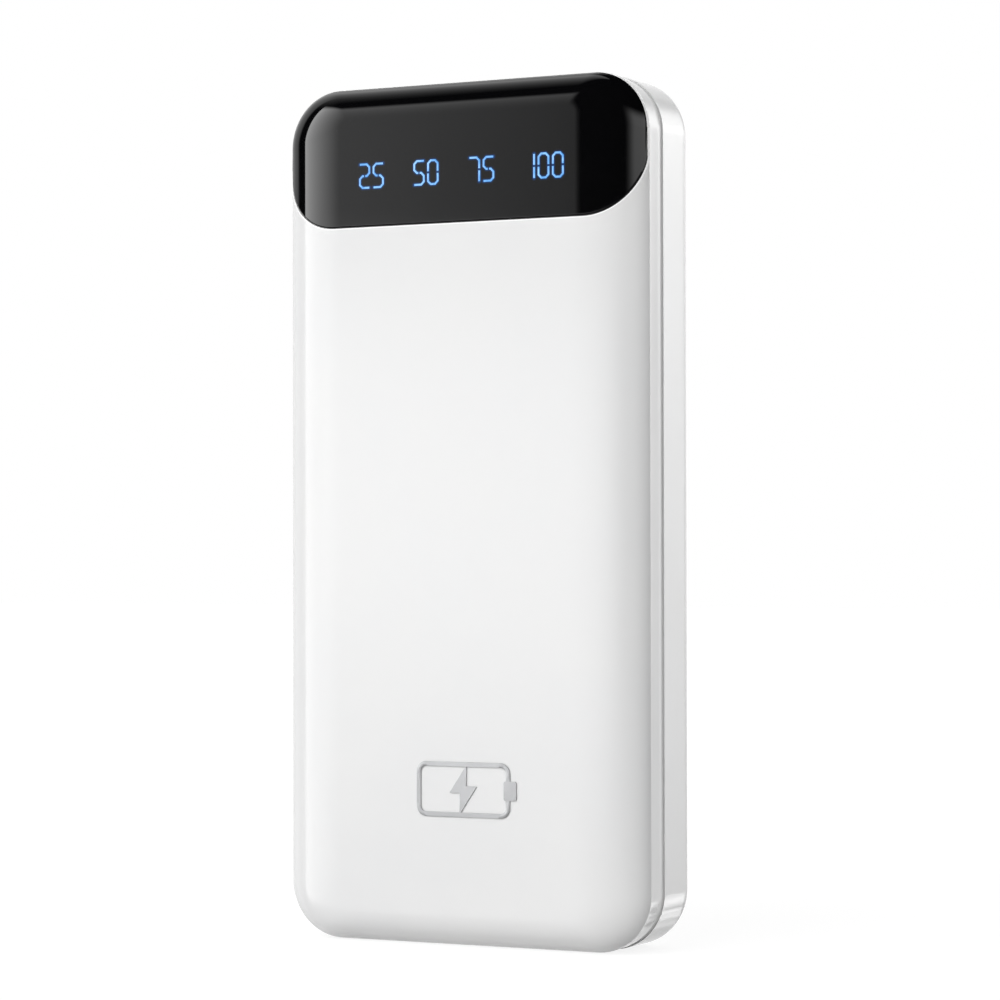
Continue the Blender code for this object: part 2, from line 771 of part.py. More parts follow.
def build_button(finishes, root, slider):
    """A round-ended head in the case wall, a flange inside it and a stem that reaches the switch.

    The slider is the empty that the moving pieces hang from. It is in the middle of the wall's outer face.
    """
    origin = Vector(slider.location)
    flange_front = SIDE_WALL + GAP
    flange_back = flange_front + FLANGE_THICKNESS
    stem_end = STEM_END - origin.x
    half, length = BUTTON_THICKNESS / 2, BUTTON_LENGTH / 2
    steps = [
        (-BUTTON_PROUD, half - BUTTON_EDGE, length - BUTTON_EDGE),
        (BUTTON_EDGE - BUTTON_PROUD, half, length),
        (flange_front, half, length),
        (flange_front, half + FLANGE, length + FLANGE),
        (flange_back, half + FLANGE, length + FLANGE),
        (flange_back, STEM_THICKNESS / 2, STEM_LENGTH / 2),
        (stem_end, STEM_THICKNESS / 2, STEM_LENGTH / 2),
    ]
    rings = [ring("X", along, pill(a, b)) for along, a, b in steps]
    add_object("power_button", lambda bm: loft(bm, rings), finishes["white"], slider)

    plunger_front = stem_end + GAP
    plunger_back = plunger_front + PLUNGER_LENGTH
    outline = rectangle(*PLUNGER_HALF)
    add_object(
        "switch_plunger",
        lambda bm: prism(bm, "X", outline, plunger_front, plunger_back),
        finishes["chip"],
        slider,
    )

    place = (SWITCH_X, at(MOUNT_DEPTH + SWITCH_SIZE[1] / 2), BUTTON_Z)
    body = add_object(
        "switch_body", lambda bm: centred_block(bm, SWITCH_SIZE), finishes["steel"], root, place
    )
    mouth = -SWITCH_SIZE[0] / 2
    half_y, half_z = PLUNGER_HALF
    pocket = add_tool(
        "switch_pocket",
        lambda bm: prism(
            bm, "X", rectangle(half_y + GAP, half_z + GAP), mouth - OVERSHOOT, mouth + POCKET_DEPTH
        ),
        root,
        place,
    )
    combine(body, "DIFFERENCE", pocket)


# Cells and their connections


def build_cell(name, front, finish, root):
    """A pouch with rounded edges, and its flat heat-sealed edge at the top."""
    half_height = (CELL_TOP - CELL_BOTTOM) / 2
    edge = []
    for step in range(SMALL_STEPS + 1):
        angle = math.radians(90 * step / SMALL_STEPS)
        edge.append((CELL_EDGE * (1 - math.cos(angle)), CELL_EDGE * (1 - math.sin(angle))))
    edge += [(CELL_THICKNESS - along, inset) for along, inset in reversed(edge)]
    rings = []
    for along, inset in edge:
        corner = CELL_CORNER - inset
        outline = rounded(CELL_HALF_WIDTH - inset, half_height - inset, corner, corner, SMALL_STEPS)
        rings.append(ring("Y", along, outline))
    place = (0, at(front), CELL_BOTTOM + half_height)
    cell = add_object(name, lambda bm: loft(bm, rings), finish, root, place)
    middle = CELL_THICKNESS / 2
    low = (-SEAL_HALF_WIDTH, middle - SEAL_THICKNESS / 2, half_height - CELL_EDGE)
    high = (SEAL_HALF_WIDTH, middle + SEAL_THICKNESS / 2, SEAL_TOP - place[2])
    seal = add_tool(name + "_seal", lambda bm: block(bm, low, high), root, place)
    combine(cell, "UNION", seal)


def build_cells(finishes, root):
    for name, front in CELL_DEPTHS.items():
        build_cell(name, front, finishes["foil"], root)
    middle = (CELL_TOP + CELL_BOTTOM) / 2
    front, rear = CELL_DEPTHS.values()
    sheets = {
        "foam_pad": (PAD_SIZE, front - GAP - PAD_SIZE[1] / 2, "foam"),
        "cell_tape": (TAPE_SIZE, (front + CELL_THICKNESS + rear) / 2, "tape"),
    }
    for name, (size, depth, finish) in sheets.items():
        place = (0, at(depth), middle)
        add_object(name, lambda bm: centred_block(bm, size), finishes[finish], root, place)


def build_strip(name, x, finish, root):
    """A nickel strip from the front cell's tab, over to the rear cell's tab."""
    half = STRIP_THICKNESS / 2
    front, rear = (at(depth + CELL_THICKNESS / 2) for depth in CELL_DEPTHS.values())
    low, high = SEAL_TOP + GAP, STRIP_TOP
    profile = [
        (front - half, low),
        (front + half, low),
        (front + half, high - STRIP_THICKNESS),
        (rear - half, high - STRIP_THICKNESS),
        (rear - half, low),
        (rear + half, low),
        (rear + half, high),
        (front - half, high),
    ]
    width = STRIP_WIDTH / 2
    add_object(name, lambda bm: prism(bm, "X", profile, -width, width), finish, root, (x, 0, 0))


def build_wire(name, x, finish, root):
    """A wire that rises from a strip and turns forwards onto the board's back."""
    start = Vector((0, at(WIRE_DEPTH), STRIP_TOP + GAP))
    bend = Vector((0, at(WIRE_DEPTH), WIRE_PAD_Z))
    end = Vector((0, at(MOUNT_DEPTH), WIRE_PAD_Z))
    curve = bpy.data.curves.new(name, "CURVE")
    curve.dimensions = "3D"
    curve.bevel_depth = WIRE_RADIUS
    curve.bevel_resolution = 2
    curve.use_fill_caps = True
    spline = curve.splines.new("POLY")
    spline.points.add(WIRE_POINTS - 1)
    for step, point in enumerate(spline.points):
        t = step / (WIRE_POINTS - 1)
        place = start.lerp(bend, t).lerp(bend.lerp(end, t), t)
        point.co = (*place, 1)
    curve.materials.append(finish)
    wire = bpy.data.objects.new(name, curve)
    bpy.context.scene.collection.objects.link(wire)
    wire.parent = root
    wire.location = (x, 0, 0)


def make_finishes():
    return {
        "white": material("white_gloss", (0.86, 0.86, 0.86), 0.22),
        "window": material("black_gloss", (0.008, 0.008, 0.009), 0.06),
        "silver": material("silver_foil", (0.62, 0.62, 0.63), 0.28, metallic=1.0),
        "black": material("black_film", (0.02, 0.02, 0.02), 0.6),
        "milky": material("milky_film", (0.85, 0.88, 0.92), 0.5),
        "white_plastic": material("white_plastic", (0.8, 0.8, 0.8), 0.5),
        "led": material("blue_led", (0.30, 0.55, 1.0), 0.4, emission=4.0),
        "board": material("green_board", (0.02, 0.16, 0.07), 0.4),
        "chip": material("black_component", (0.03, 0.03, 0.03), 0.5),
        "capacitor": material("capacitor_body", (0.45, 0.32, 0.2), 0.5),
        "ferrite": material("ferrite", (0.12, 0.12, 0.13), 0.6),
        "steel": material("nickelled_steel", (0.7, 0.69, 0.67), 0.25, metallic=1.0),
        "screw": material("screw_steel", (0.55, 0.55, 0.56), 0.3, metallic=1.0),
        "insulator": material("socket_insulator", (0.75, 0.75, 0.75), 0.45),
        "foil": material("cell_foil", (0.5, 0.52, 0.55), 0.4, metallic=0.6),
        "foam": material("grey_foam", (0.25, 0.25, 0.26), 0.9),
        "tape": material("cell_tape", (0.75, 0.72, 0.6), 0.7),
        "nickel": material("nickel_strip", (0.66, 0.63, 0.58), 0.3, metallic=1.0),
        "red": material("red_insulation", (0.55, 0.02, 0.02), 0.45),
        "black_wire": material("black_insulation", (0.02, 0.02, 0.02), 0.45),
    }


def main():
    clear_scene()
    root = bpy.data.objects.new("power_bank", None)
    slider = bpy.data.objects.new("button_slider", None)
    for empty in (root, slider):
        bpy.context.scene.collection.objects.link(empty)
    slider.parent = root
    slider.location = (-WIDTH / 2, at(BUTTON_DEPTH), BUTTON_Z)

    finishes = make_finishes()
    build_front_shell(finishes["white"], root)
    build_window(finishes["window"], root)
    build_emblem(finishes["silver"], root)
    build_rear_shell(finishes["white"], root)
    build_display(finishes, root)
    build_board(finishes, root)
    for name in PORTS:
        build_port(name, finishes, root)
    build_button(finishes, root, slider)
    build_cells(finishes, root)
    build_strip("positive_strip", -STRIP_X, finishes["nickel"], root)
    build_strip("negative_strip", STRIP_X, finishes["nickel"], root)
    build_wire("positive_wire", -STRIP_X, finishes["red"], root)
    build_wire("negative_wire", STRIP_X, finishes["black_wire"], root)


main()
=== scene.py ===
"""Looks of the power bank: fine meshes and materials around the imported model, a studio and a camera.

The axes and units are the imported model's: metres, +Z up, the front faces -Y. A depth is a distance behind
the flat front face, and an inset is a distance in from the case's outline.
"""

import math

import bmesh
import bpy
from mathutils import Matrix, Vector
from mathutils.bvhtree import BVHTree


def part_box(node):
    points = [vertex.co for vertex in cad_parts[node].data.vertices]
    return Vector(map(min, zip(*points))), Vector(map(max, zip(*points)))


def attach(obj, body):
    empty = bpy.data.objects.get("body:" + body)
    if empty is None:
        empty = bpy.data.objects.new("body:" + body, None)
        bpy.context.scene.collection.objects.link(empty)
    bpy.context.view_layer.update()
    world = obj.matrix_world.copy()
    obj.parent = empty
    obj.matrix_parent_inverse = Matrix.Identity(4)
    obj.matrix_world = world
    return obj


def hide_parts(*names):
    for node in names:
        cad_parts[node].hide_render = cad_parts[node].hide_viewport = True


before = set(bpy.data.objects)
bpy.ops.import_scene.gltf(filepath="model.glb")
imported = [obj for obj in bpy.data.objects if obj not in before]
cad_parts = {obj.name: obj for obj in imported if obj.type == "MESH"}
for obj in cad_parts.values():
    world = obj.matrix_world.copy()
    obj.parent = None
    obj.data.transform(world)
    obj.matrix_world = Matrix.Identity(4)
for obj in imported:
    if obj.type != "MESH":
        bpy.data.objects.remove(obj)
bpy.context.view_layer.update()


def middle_of(name):
    """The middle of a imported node's box."""
    return [(low + high) / 2 for low, high in zip(*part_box(name))]


# Sizes of the case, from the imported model
FRONT_LOW, FRONT_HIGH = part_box("front_shell")
REAR_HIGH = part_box("rear_shell")[1]
HALF_WIDTH = FRONT_HIGH.x
HEIGHT = FRONT_HIGH.z
DEPTH = REAR_HIGH.y - FRONT_LOW.y

# The case's design. The border is an elliptical roll that ends in a crease. A value with a comment is
# this script's own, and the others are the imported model's
CORNER = 0.0097
ROLL_X = 0.0115
ROLL_Z = 0.0055
ROLL_DEPTH = 0.0040
ROLL_END = math.radians(80)
CREASE = math.radians(0.9)  # stretch of the roll's end beside the crease
FLAT_CORNER = 0.0015  # corner radius where the flat face meets the roll
BACK_ROUND = 0.0036
FACE_WALL = 0.0018
SIDE_WALL = 0.0022
PARTING = 0.0092
RECESS_START = 0.0070
RECESS = 0.00013  # how far the front's side wall has come in at the parting line
SEAM = 0.00002  # gap at the parting line, as seen from outside
DRAFT = 0.0001  # how far the front's side wall comes in before the recess
LIP = 0.0012
LIP_HEIGHT = 0.00115
GAP = 0.0003
OVERSHOOT = 0.002
RIB_X = 0.0220
RIB_Z = 0.1135
RIB_SIZE = (0.0140, 0.0072, 0.0012)
BOSS_RADIUS = 0.0027
BOSS_HOLE_RADIUS = 0.0013
BOSS_HOLE_DEPTH = 0.0155

# How fine the meshes are, and the rounding of moulded edges
LONGEST_CUT = 0.45  # share of a side that a rounded corner may take
ROLL_STEPS = 28
CORNER_STEPS = 24
BACK_STEPS = 14
COARSE_STEPS = 8
SOFT_STEPS = 5
PILL_STEPS = 16
CIRCLE_STEPS = 32
SUPPORT = 0.0003  # distance of the extra points that keep a flat face flat
CRISP = 0.00005  # distance of the extra points that keep a crease narrow
EDGE = 0.00009  # the rear case's edge at the parting line
EDGE_STEPS = 4
SEAM_EDGE = 0.00006
LENS_EDGE = 0.00034
HOLE_EDGE = 0.00015
SEAM_STEPS = 3
FINE_EDGE = 0.00004  # edges of the emblem and the sockets' springs
FINE_STEPS = 2
SMOOTH_BELOW = math.radians(35)
BEVEL_ABOVE = math.radians(50)

# How a cut's rim is found on the surface that it goes through
ON_SURFACE = 1.2e-4
RIM_ABOVE = math.radians(27)
SAME_WAY = 0.9  # cosine between a face and the surface, above which the face is part of it
MERGE = 4e-6
RIM_MERGE = 45e-6
NEAR_SURFACE = 36e-6  # within this distance a mesh takes over the surface's shading

# Window
WINDOW_LOW, WINDOW_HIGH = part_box("display_window")
WINDOW_DROP = HEIGHT - WINDOW_LOW.z
WINDOW_SIDE = HALF_WIDTH - WINDOW_HIGH.x
WINDOW_DEPTH = WINDOW_HIGH.y - FRONT_LOW.y
WINDOW_CORNER = 0.01015
WINDOW_WALL = 0.0009
WINDOW_GROW = 0.00005
POCKET_GROW = 0.00013
OPENING = (0.0420, 0.0072)
DISPLAY_X = 0.0008

# Numerals
DISPLAY_Z = middle_of("numeral_mask")[2]
NUMERALS = ("25", "50", "75", "100")
DIGIT_HEIGHT = 0.00435
DIGIT_WIDTH = 0.0022
DIGIT_SPACE = 0.00045
STROKE = 0.00037
CHAMFER = 0.0005
BAR_GAP = 0.00025
CROWN_SHARE = 0.3  # half the width of a stroke's raised middle, as a share of the stroke
STROKE_RISE = 0.00003  # how far the lit strokes stand off the window
HALO = 0.00032
HALO_RISE = 0.000008
HALO_CELL = 0.00011

# Sockets. Sizes are (width, thickness), and for a tongue also its offset and its distance below the mouth
METAL = 0.0003
BLOCK_SHARE = 0.3
TONGUE_ROOT = 0.0010
USB_A_SIZE = (0.0132, 0.0057)
USB_A_CORNER = 0.0006
USB_A_TONGUE = (0.0110, 0.0018, 0.0010, 0.0016)
MICRO_SIZE = (0.0076, 0.0029)
MICRO_CORNER = 0.00045
MICRO_TONGUE = (0.0044, 0.0006, 0.0003, 0.0007)
MICRO_SLOPE = 0.0010
USB_C_SIZE = (0.0090, 0.0033)
USB_C_TONGUE = (0.0066, 0.0007, 0.0, 0.0009)
CONTACT_RISE = 0.00012
CONTACT_CROWN = 0.8  # width of a contact's outer face, as a share of its width
LIP_STEPS = 6
TONGUE_EDGE = 0.0003
TONGUE_TAPER = 0.9  # how far a tongue's end slims and how round it is, as shares of its edge
TONGUE_TIP = 0.2

# A contact's end dips into the tongue: distance from the tongue's tip, and share of CONTACT_RISE
CONTACT_DIP = ((0.0011, 1), (0.0008, 0.8), (0.0005, -0.5))

# A socket's spring: distance below the mouth, bow inwards and half width, from its root to its end
SPRING = (
    (0.0062, -0.0001, 0.0011),
    (0.0045, 0.00015, 0.0010),
    (0.0030, 0.00032, 0.0009),
    (0.0022, 0.00034, 0.0008),
    (0.0015, 0.00012, 0.0007),
    (0.0010, -0.0001, 0.0006),
)
SPRING_X = 0.0030
SPRING_THICKNESS = 0.00016

# Button
BUTTON_CENTRE = middle_of("power_button")[1:]
BUTTON_SIZE = (0.0038, 0.0096)
BUTTON_EDGE = 0.0004
BUTTON_EDGE_STEPS = 6
BUTTON_DISH = 0.00022
BUTTON_STEPS = 24
BUTTON_SEAM = 0.00014
FLANGE = 0.0010
FLANGE_THICKNESS = 0.0008
STEM_SIZE = (0.0014, 0.0030)

# The dish's rings: distance in from the button's side, and share of its depth
DISH = ((0.0016, 0.94), (0.0013, 0.8), (0.0010, 0.56), (0.0008, 0.3), (0.00065, 0.1), (0.00055, 0))

# Emblem
EMBLEM_BAR = 0.0008
EMBLEM_CORNER = 0.0018
TERMINAL_HALF = (0.0012, 0.0016)
TERMINAL_CORNER = 0.0004
BOLT_HALF_HEIGHT = 0.0042
BOLT_SLANT = 0.0007
BOLT_HALF_WIDTH = 0.0026
BOLT_NOTCH = 0.0006
BOLT_CORNER = 0.0002

# A prism's outline (a, b) and its axis give each point
AXES = {
    "X": lambda along, a, b: (along, a, b),
    "Y": lambda along, a, b: (a, along, b),
    "Z": lambda along, a, b: (a, b, along),
}


def at(depth):
    """Y of the plane this far behind the front face."""
    return FRONT_LOW.y + depth


# Meshes


def shade(mesh):
    mesh.shade_smooth()
    mesh.set_sharp_from_angle(angle=SMOOTH_BELOW)


def opened(obj):
    """A bmesh copy of an object's mesh."""
    bm = bmesh.new()
    bm.from_mesh(obj.data)
    return bm


def add_object(name, draw, finish=None):
    """A mesh object from what draw adds to an empty bmesh."""
    bm = bmesh.new()
    draw(bm)
    bmesh.ops.recalc_face_normals(bm, faces=bm.faces)
    mesh = bpy.data.meshes.new(name)
    bm.to_mesh(mesh)
    bm.free()
    shade(mesh)
    if finish:
        mesh.materials.append(finish)
    obj = bpy.data.objects.new(name, mesh)
    bpy.context.scene.collection.objects.link(obj)
    return obj


def add_tool(name, draw):
    """A helper that only shapes other meshes, and is removed after that."""
    tool = add_object(name, draw)
    tool.hide_render = True
    return tool


def apply_modifiers(obj):
    graph = bpy.context.evaluated_depsgraph_get()
    mesh = bpy.data.meshes.new_from_object(
        obj.evaluated_get(graph), preserve_all_data_layers=True, depsgraph=graph
    )
    obj.modifiers.clear()
    old = obj.data
    obj.data = mesh
    bpy.data.meshes.remove(old)
    mesh.name = obj.name


def combine(obj, operation, *tools):
    """Cuts, joins or intersects obj with the tools, and removes them."""
    for tool in tools:
        boolean = obj.modifiers.new(operation.title(), "BOOLEAN")
        boolean.operation = operation
        boolean.object = tool
    apply_modifiers(obj)
    for tool in tools:
        bpy.data.objects.remove(tool)


def round_seam(obj, surface, width):
    """Rounds the sharp edges that cuts have left in a surface."""
    bm = opened(surface)
    tree = BVHTree.FromBMesh(bm)
    bm.free()
    bm = opened(obj)
    bmesh.ops.remove_doubles(bm, verts=bm.verts, dist=MERGE)

    def lies_on_surface(face):
        normal = tree.find_nearest(face.calc_center_median(), ON_SURFACE)[1]
        return normal is not None and normal.dot(face.normal) > SAME_WAY

    def cut_edges():
        bm.normal_update()
        touching = {vert for vert in bm.verts if tree.find_nearest(vert.co, ON_SURFACE)[0] is not None}
        return [
            edge
            for edge in bm.edges
            if touching.issuperset(edge.verts)
            and len(edge.link_faces) == 2
            and edge.calc_face_angle(0) > RIM_ABOVE
            and sum(lies_on_surface(face) for face in edge.link_faces) == 1
        ]

    rim = {vert for edge in cut_edges() for vert in edge.verts}
    bmesh.ops.remove_doubles(bm, verts=list(rim), dist=RIM_MERGE)
    shape = {"offset": width, "segments": SEAM_STEPS, "profile": 0.5, "clamp_overlap": False}
    bmesh.ops.bevel(bm, geom=cut_edges(), affect="EDGES", **shape)
    bm.to_mesh(obj.data)
    bm.free()
    shade(obj.data)


def keep_shading(obj, surface, low_y, high_y):
    """Gives the parts of obj that lie on an uncut surface its smooth shading."""
    group = obj.vertex_groups.new(name="outer")
    chosen = [vert.index for vert in obj.data.vertices if low_y <= vert.co.y <= high_y]
    group.add(chosen, 1, "REPLACE")
    transfer = obj.modifiers.new("Shading", "DATA_TRANSFER")
    transfer.object = surface
    transfer.use_loop_data = True
    transfer.data_types_loops = {"CUSTOM_NORMAL"}
    transfer.loop_mapping = "POLYINTERP_NEAREST"
    transfer.use_max_distance = True
    transfer.max_distance = NEAR_SURFACE
    transfer.vertex_group = group.name
    apply_modifiers(obj)
    obj.vertex_groups.clear()


def clean_surface(obj, surface, low_y, high_y, width=SEAM_EDGE):
    """Rounds the cuts in a surface, keeps its shading between two planes, and removes its tool."""
    round_seam(obj, surface, width)
    keep_shading(obj, surface, low_y, high_y)
    bpy.data.objects.remove(surface)


def add_fine_bevel(obj):
    bevel = obj.modifiers.new("Bevel", "BEVEL")
    bevel.width = FINE_EDGE
    bevel.segments = FINE_STEPS
    bevel.limit_method = "ANGLE"
    bevel.angle_limit = BEVEL_ABOVE
    apply_modifiers(obj)
    shade(obj.data)
    obj.modifiers.new("Normals", "WEIGHTED_NORMAL").keep_sharp = True
    apply_modifiers(obj)


def stand_for(piece, node):
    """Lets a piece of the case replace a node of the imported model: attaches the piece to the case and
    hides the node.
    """
    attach(piece, "case")
    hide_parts(node)


def join(bm, first, second, closed=True):
    """Faces between two lines of vertices, which are loops when closed."""
    for i in range(len(first) if closed else len(first) - 1):
        j = (i + 1) % len(first)
        bm.faces.new((first[i], first[j], second[j], second[i]))


def skin(bm, loops, ends=True):
    """Joins each loop of vertices to the next. The ends are closed by faces, or joined to each other."""
    pairs = list(zip(loops, loops[1:]))
    if ends:
        bm.faces.new(loops[0])
        bm.faces.new(loops[-1])
    else:
        pairs.append((loops[-1], loops[0]))
    for first, second in pairs:
        join(bm, first, second)


def loft(bm, rings, ends=True):
    skin(bm, [[bm.verts.new(point) for point in ring] for ring in rings], ends)


def ring(axis, along, outline, centre):
    return [AXES[axis](along, centre[0] + a, centre[1] + b) for a, b in outline]


def prism(bm, axis, outline, low, high, centre=(0, 0)):
    loft(bm, [ring(axis, low, outline, centre), ring(axis, high, outline, centre)])


def prism_tool(name, *sizes):
    return add_tool(name, lambda bm: prism(bm, *sizes))


def rounded(half_a, half_b, radius_a, radius_b):
    """Points round a rectangle with elliptical corners, each between two support points."""
    points = []
    for quarter in range(4):
        sign_a = 1 if quarter in (0, 3) else -1
        sign_b = 1 if quarter in (0, 1) else -1
        turns = [quarter + step / CORNER_STEPS for step in range(CORNER_STEPS + 1)]
        angles = [math.radians(90 * turn) for turn in turns]
        centre_a = sign_a * (half_a - radius_a)
        centre_b = sign_b * (half_b - radius_b)
        arc = [(centre_a + radius_a * math.cos(t), centre_b + radius_b * math.sin(t)) for t in angles]
        (start_a, start_b), (end_a, end_b) = arc[0], arc[-1]
        before = (start_a + SUPPORT * math.sin(angles[0]), start_b - SUPPORT * math.cos(angles[0]))
        after = (end_a - SUPPORT * math.sin(angles[-1]), end_b + SUPPORT * math.cos(angles[-1]))
        points += [before, *arc, after]
    return points


def pill(half_a, half_b, steps=PILL_STEPS):
    """Two half circles at +b and -b, joined by straight sides."""
    points = []
    for end in (0, 1):
        middle = (half_b - half_a) * (1 - 2 * end)
        for step in range(steps + 1):
            angle = math.pi * (end + step / steps)
            points.append((half_a * math.cos(angle), middle + half_a * math.sin(angle)))
    return points


def rectangle(half_a, half_b):
    return [(half_a, half_b), (-half_a, half_b), (-half_a, -half_b), (half_a, -half_b)]


def soften(outline, radius):
    """The outline with each corner cut back by radius and replaced by a curve."""
    points = []
    count = len(outline)
    for i in range(count):
        before, corner, after = (Vector(outline[(i + shift) % count]) for shift in (-1, 0, 1))
        ways = [end - corner for end in (before, after)]
        start, end = (corner + way * min(radius / way.length, LONGEST_CUT) for way in ways)
        for step in range(SOFT_STEPS + 1):
            share = step / SOFT_STEPS
            points.append(tuple(start.lerp(corner, share).lerp(corner.lerp(end, share), share)))
    return points


def circle(radius):
    angles = [2 * math.pi * step / CIRCLE_STEPS for step in range(CIRCLE_STEPS)]
    return [(radius * math.cos(angle), radius * math.sin(angle)) for angle in angles]


# The case's surfaces


def case_ring(depth, inset_x, inset_z, shrink_x, shrink_z):
    """The case's outline at a depth, inset, with its corner radii made smaller."""
    half_height = HEIGHT / 2 - inset_z
    outline = rounded(HALF_WIDTH - inset_x, half_height, CORNER - shrink_x, CORNER - shrink_z)
    return [(x, at(depth), HEIGHT / 2 + z) for x, z in outline]


def wall_ring(depth, inset):
    return case_ring(depth, inset, inset, inset, inset)


def wall_rings(profile):
    return [wall_ring(depth, inset) for depth, inset in profile]


def front_ring(angle, side, face):
    """The front's rounded border at an angle of its roll, from 0 at the flat face to ROLL_END."""
    out = math.sin(angle) / math.sin(ROLL_END)
    rise = 1 - (1 - math.cos(angle)) / (1 - math.cos(ROLL_END))
    drop_x = ROLL_X * (1 - out)
    drop_z = ROLL_Z * (1 - out)
    shrink = (CORNER - FLAT_CORNER) * (1 - out)
    sizes = (drop_x, drop_z, shrink, shrink)
    depth = ROLL_DEPTH - (ROLL_DEPTH - face) * rise
    return case_ring(depth, *(size + side * out for size in sizes))


def front_rings(side, face, steps=COARSE_STEPS):
    return [front_ring(ROLL_END * step / steps, side, face) for step in range(steps + 1)]


def outer_front_rings():
    """The outer front border down to its crease, with a support ring on the flat face."""
    shrink = CORNER - FLAT_CORNER + SUPPORT
    flat = case_ring(0, ROLL_X + SUPPORT, ROLL_Z + SUPPORT, shrink, shrink)
    rings = front_rings(0, 0, ROLL_STEPS)[:-1]
    rings += [front_ring(ROLL_END - CREASE, 0, 0), front_ring(ROLL_END - CREASE / 3, 0, 0)]
    return [flat] + rings + [wall_ring(ROLL_DEPTH + CRISP / 2, 0), wall_ring(ROLL_DEPTH + CRISP * 2, 0)]


def crisp_corner(before, corner, after):
    """A profile's corner as three points close together, so that its crease stays narrow."""
    points = []
    for end in (before, after):
        way = Vector(end) - Vector(corner)
        points.append(tuple(Vector(corner) + way.normalized() * CRISP))
    return [points[0], corner, points[1]]


def back_rings(side, face, steps=COARSE_STEPS):
    """The back's rounded edge, from the side wall to the flat back, offset inwards."""
    rings = []
    for step in range(steps + 1):
        angle = math.radians(90 * step / steps)
        inset = BACK_ROUND - (BACK_ROUND - side) * math.cos(angle)
        depth = DEPTH - BACK_ROUND + (BACK_ROUND - face) * math.sin(angle)
        rings.append(wall_ring(depth, inset))
    return rings


def window_outline(grow):
    """The window's bottom edge and its two round corners, seen from the front, and open above the case."""
    half_width = HALF_WIDTH - WINDOW_SIDE + grow
    bottom = HEIGHT - WINDOW_DROP - grow
    radius = WINDOW_CORNER + grow
    points = [(half_width, HEIGHT + OVERSHOOT), (-half_width, HEIGHT + OVERSHOOT)]
    for side, start in ((-1, 180), (1, 270)):
        for step in range(CORNER_STEPS + 1):
            angle = math.radians(start + 90 * step / CORNER_STEPS)
            x = side * (half_width - radius) + radius * math.cos(angle)
            points.append((x, bottom + radius + radius * math.sin(angle)))
    return points


def window_prism(bm, grow):
    prism(bm, "Y", window_outline(grow), at(-OVERSHOOT), at(WINDOW_DEPTH + grow))


def front_block(inset):
    """A solid inside the front border offset inwards, back to the parting line."""
    rings = front_rings(inset, inset) + [wall_ring(PARTING, inset)]
    return add_tool("front_block", lambda bm: loft(bm, rings))


# Case pieces


def build_front_shell(finish):
    lap = PARTING - SEAM / 2
    near_lap = lap - 2 * CRISP
    near_inset = DRAFT + (RECESS - DRAFT) * (near_lap - RECESS_START) / (lap - RECESS_START)
    profile = crisp_corner((ROLL_DEPTH, 0), (RECESS_START, DRAFT), (lap, RECESS))
    profile += [(near_lap, near_inset), (lap, RECESS + CRISP), (lap, LIP)]
    profile += [(lap - LIP_HEIGHT, LIP), (lap - LIP_HEIGHT, SIDE_WALL)]
    rings = outer_front_rings() + wall_rings(profile)
    rings += reversed(front_rings(SIDE_WALL, FACE_WALL))
    shell = add_object("front_case", lambda bm: loft(bm, rings), finish)

    pocket = add_tool("pocket", lambda bm: window_prism(bm, POCKET_GROW))
    combine(pocket, "DIFFERENCE", front_block(WINDOW_WALL + POCKET_GROW))
    outline = rectangle(OPENING[0] / 2, OPENING[1] / 2)
    depths = (at(0), at(FACE_WALL + OVERSHOOT))
    opening = prism_tool("opening", "Y", outline, *depths, (DISPLAY_X, DISPLAY_Z))
    combine(shell, "DIFFERENCE", pocket, opening)
    clean_surface(shell, outer_surface(), FRONT_LOW.y, at(ROLL_DEPTH))
    stand_for(shell, "front_shell")


def outer_surface():
    rings = outer_front_rings() + [wall_ring(PARTING + LIP, 0)]
    return add_tool("outer_surface", lambda bm: loft(bm, rings))


def build_window(finish):
    window = add_object("window_lens", lambda bm: window_prism(bm, WINDOW_GROW), finish)
    combine(window, "DIFFERENCE", front_block(WINDOW_WALL))
    combine(window, "INTERSECT", outer_surface())
    clean_surface(window, outer_surface(), FRONT_LOW.y, at(ROLL_DEPTH), LENS_EDGE)
    stand_for(window, "display_window")


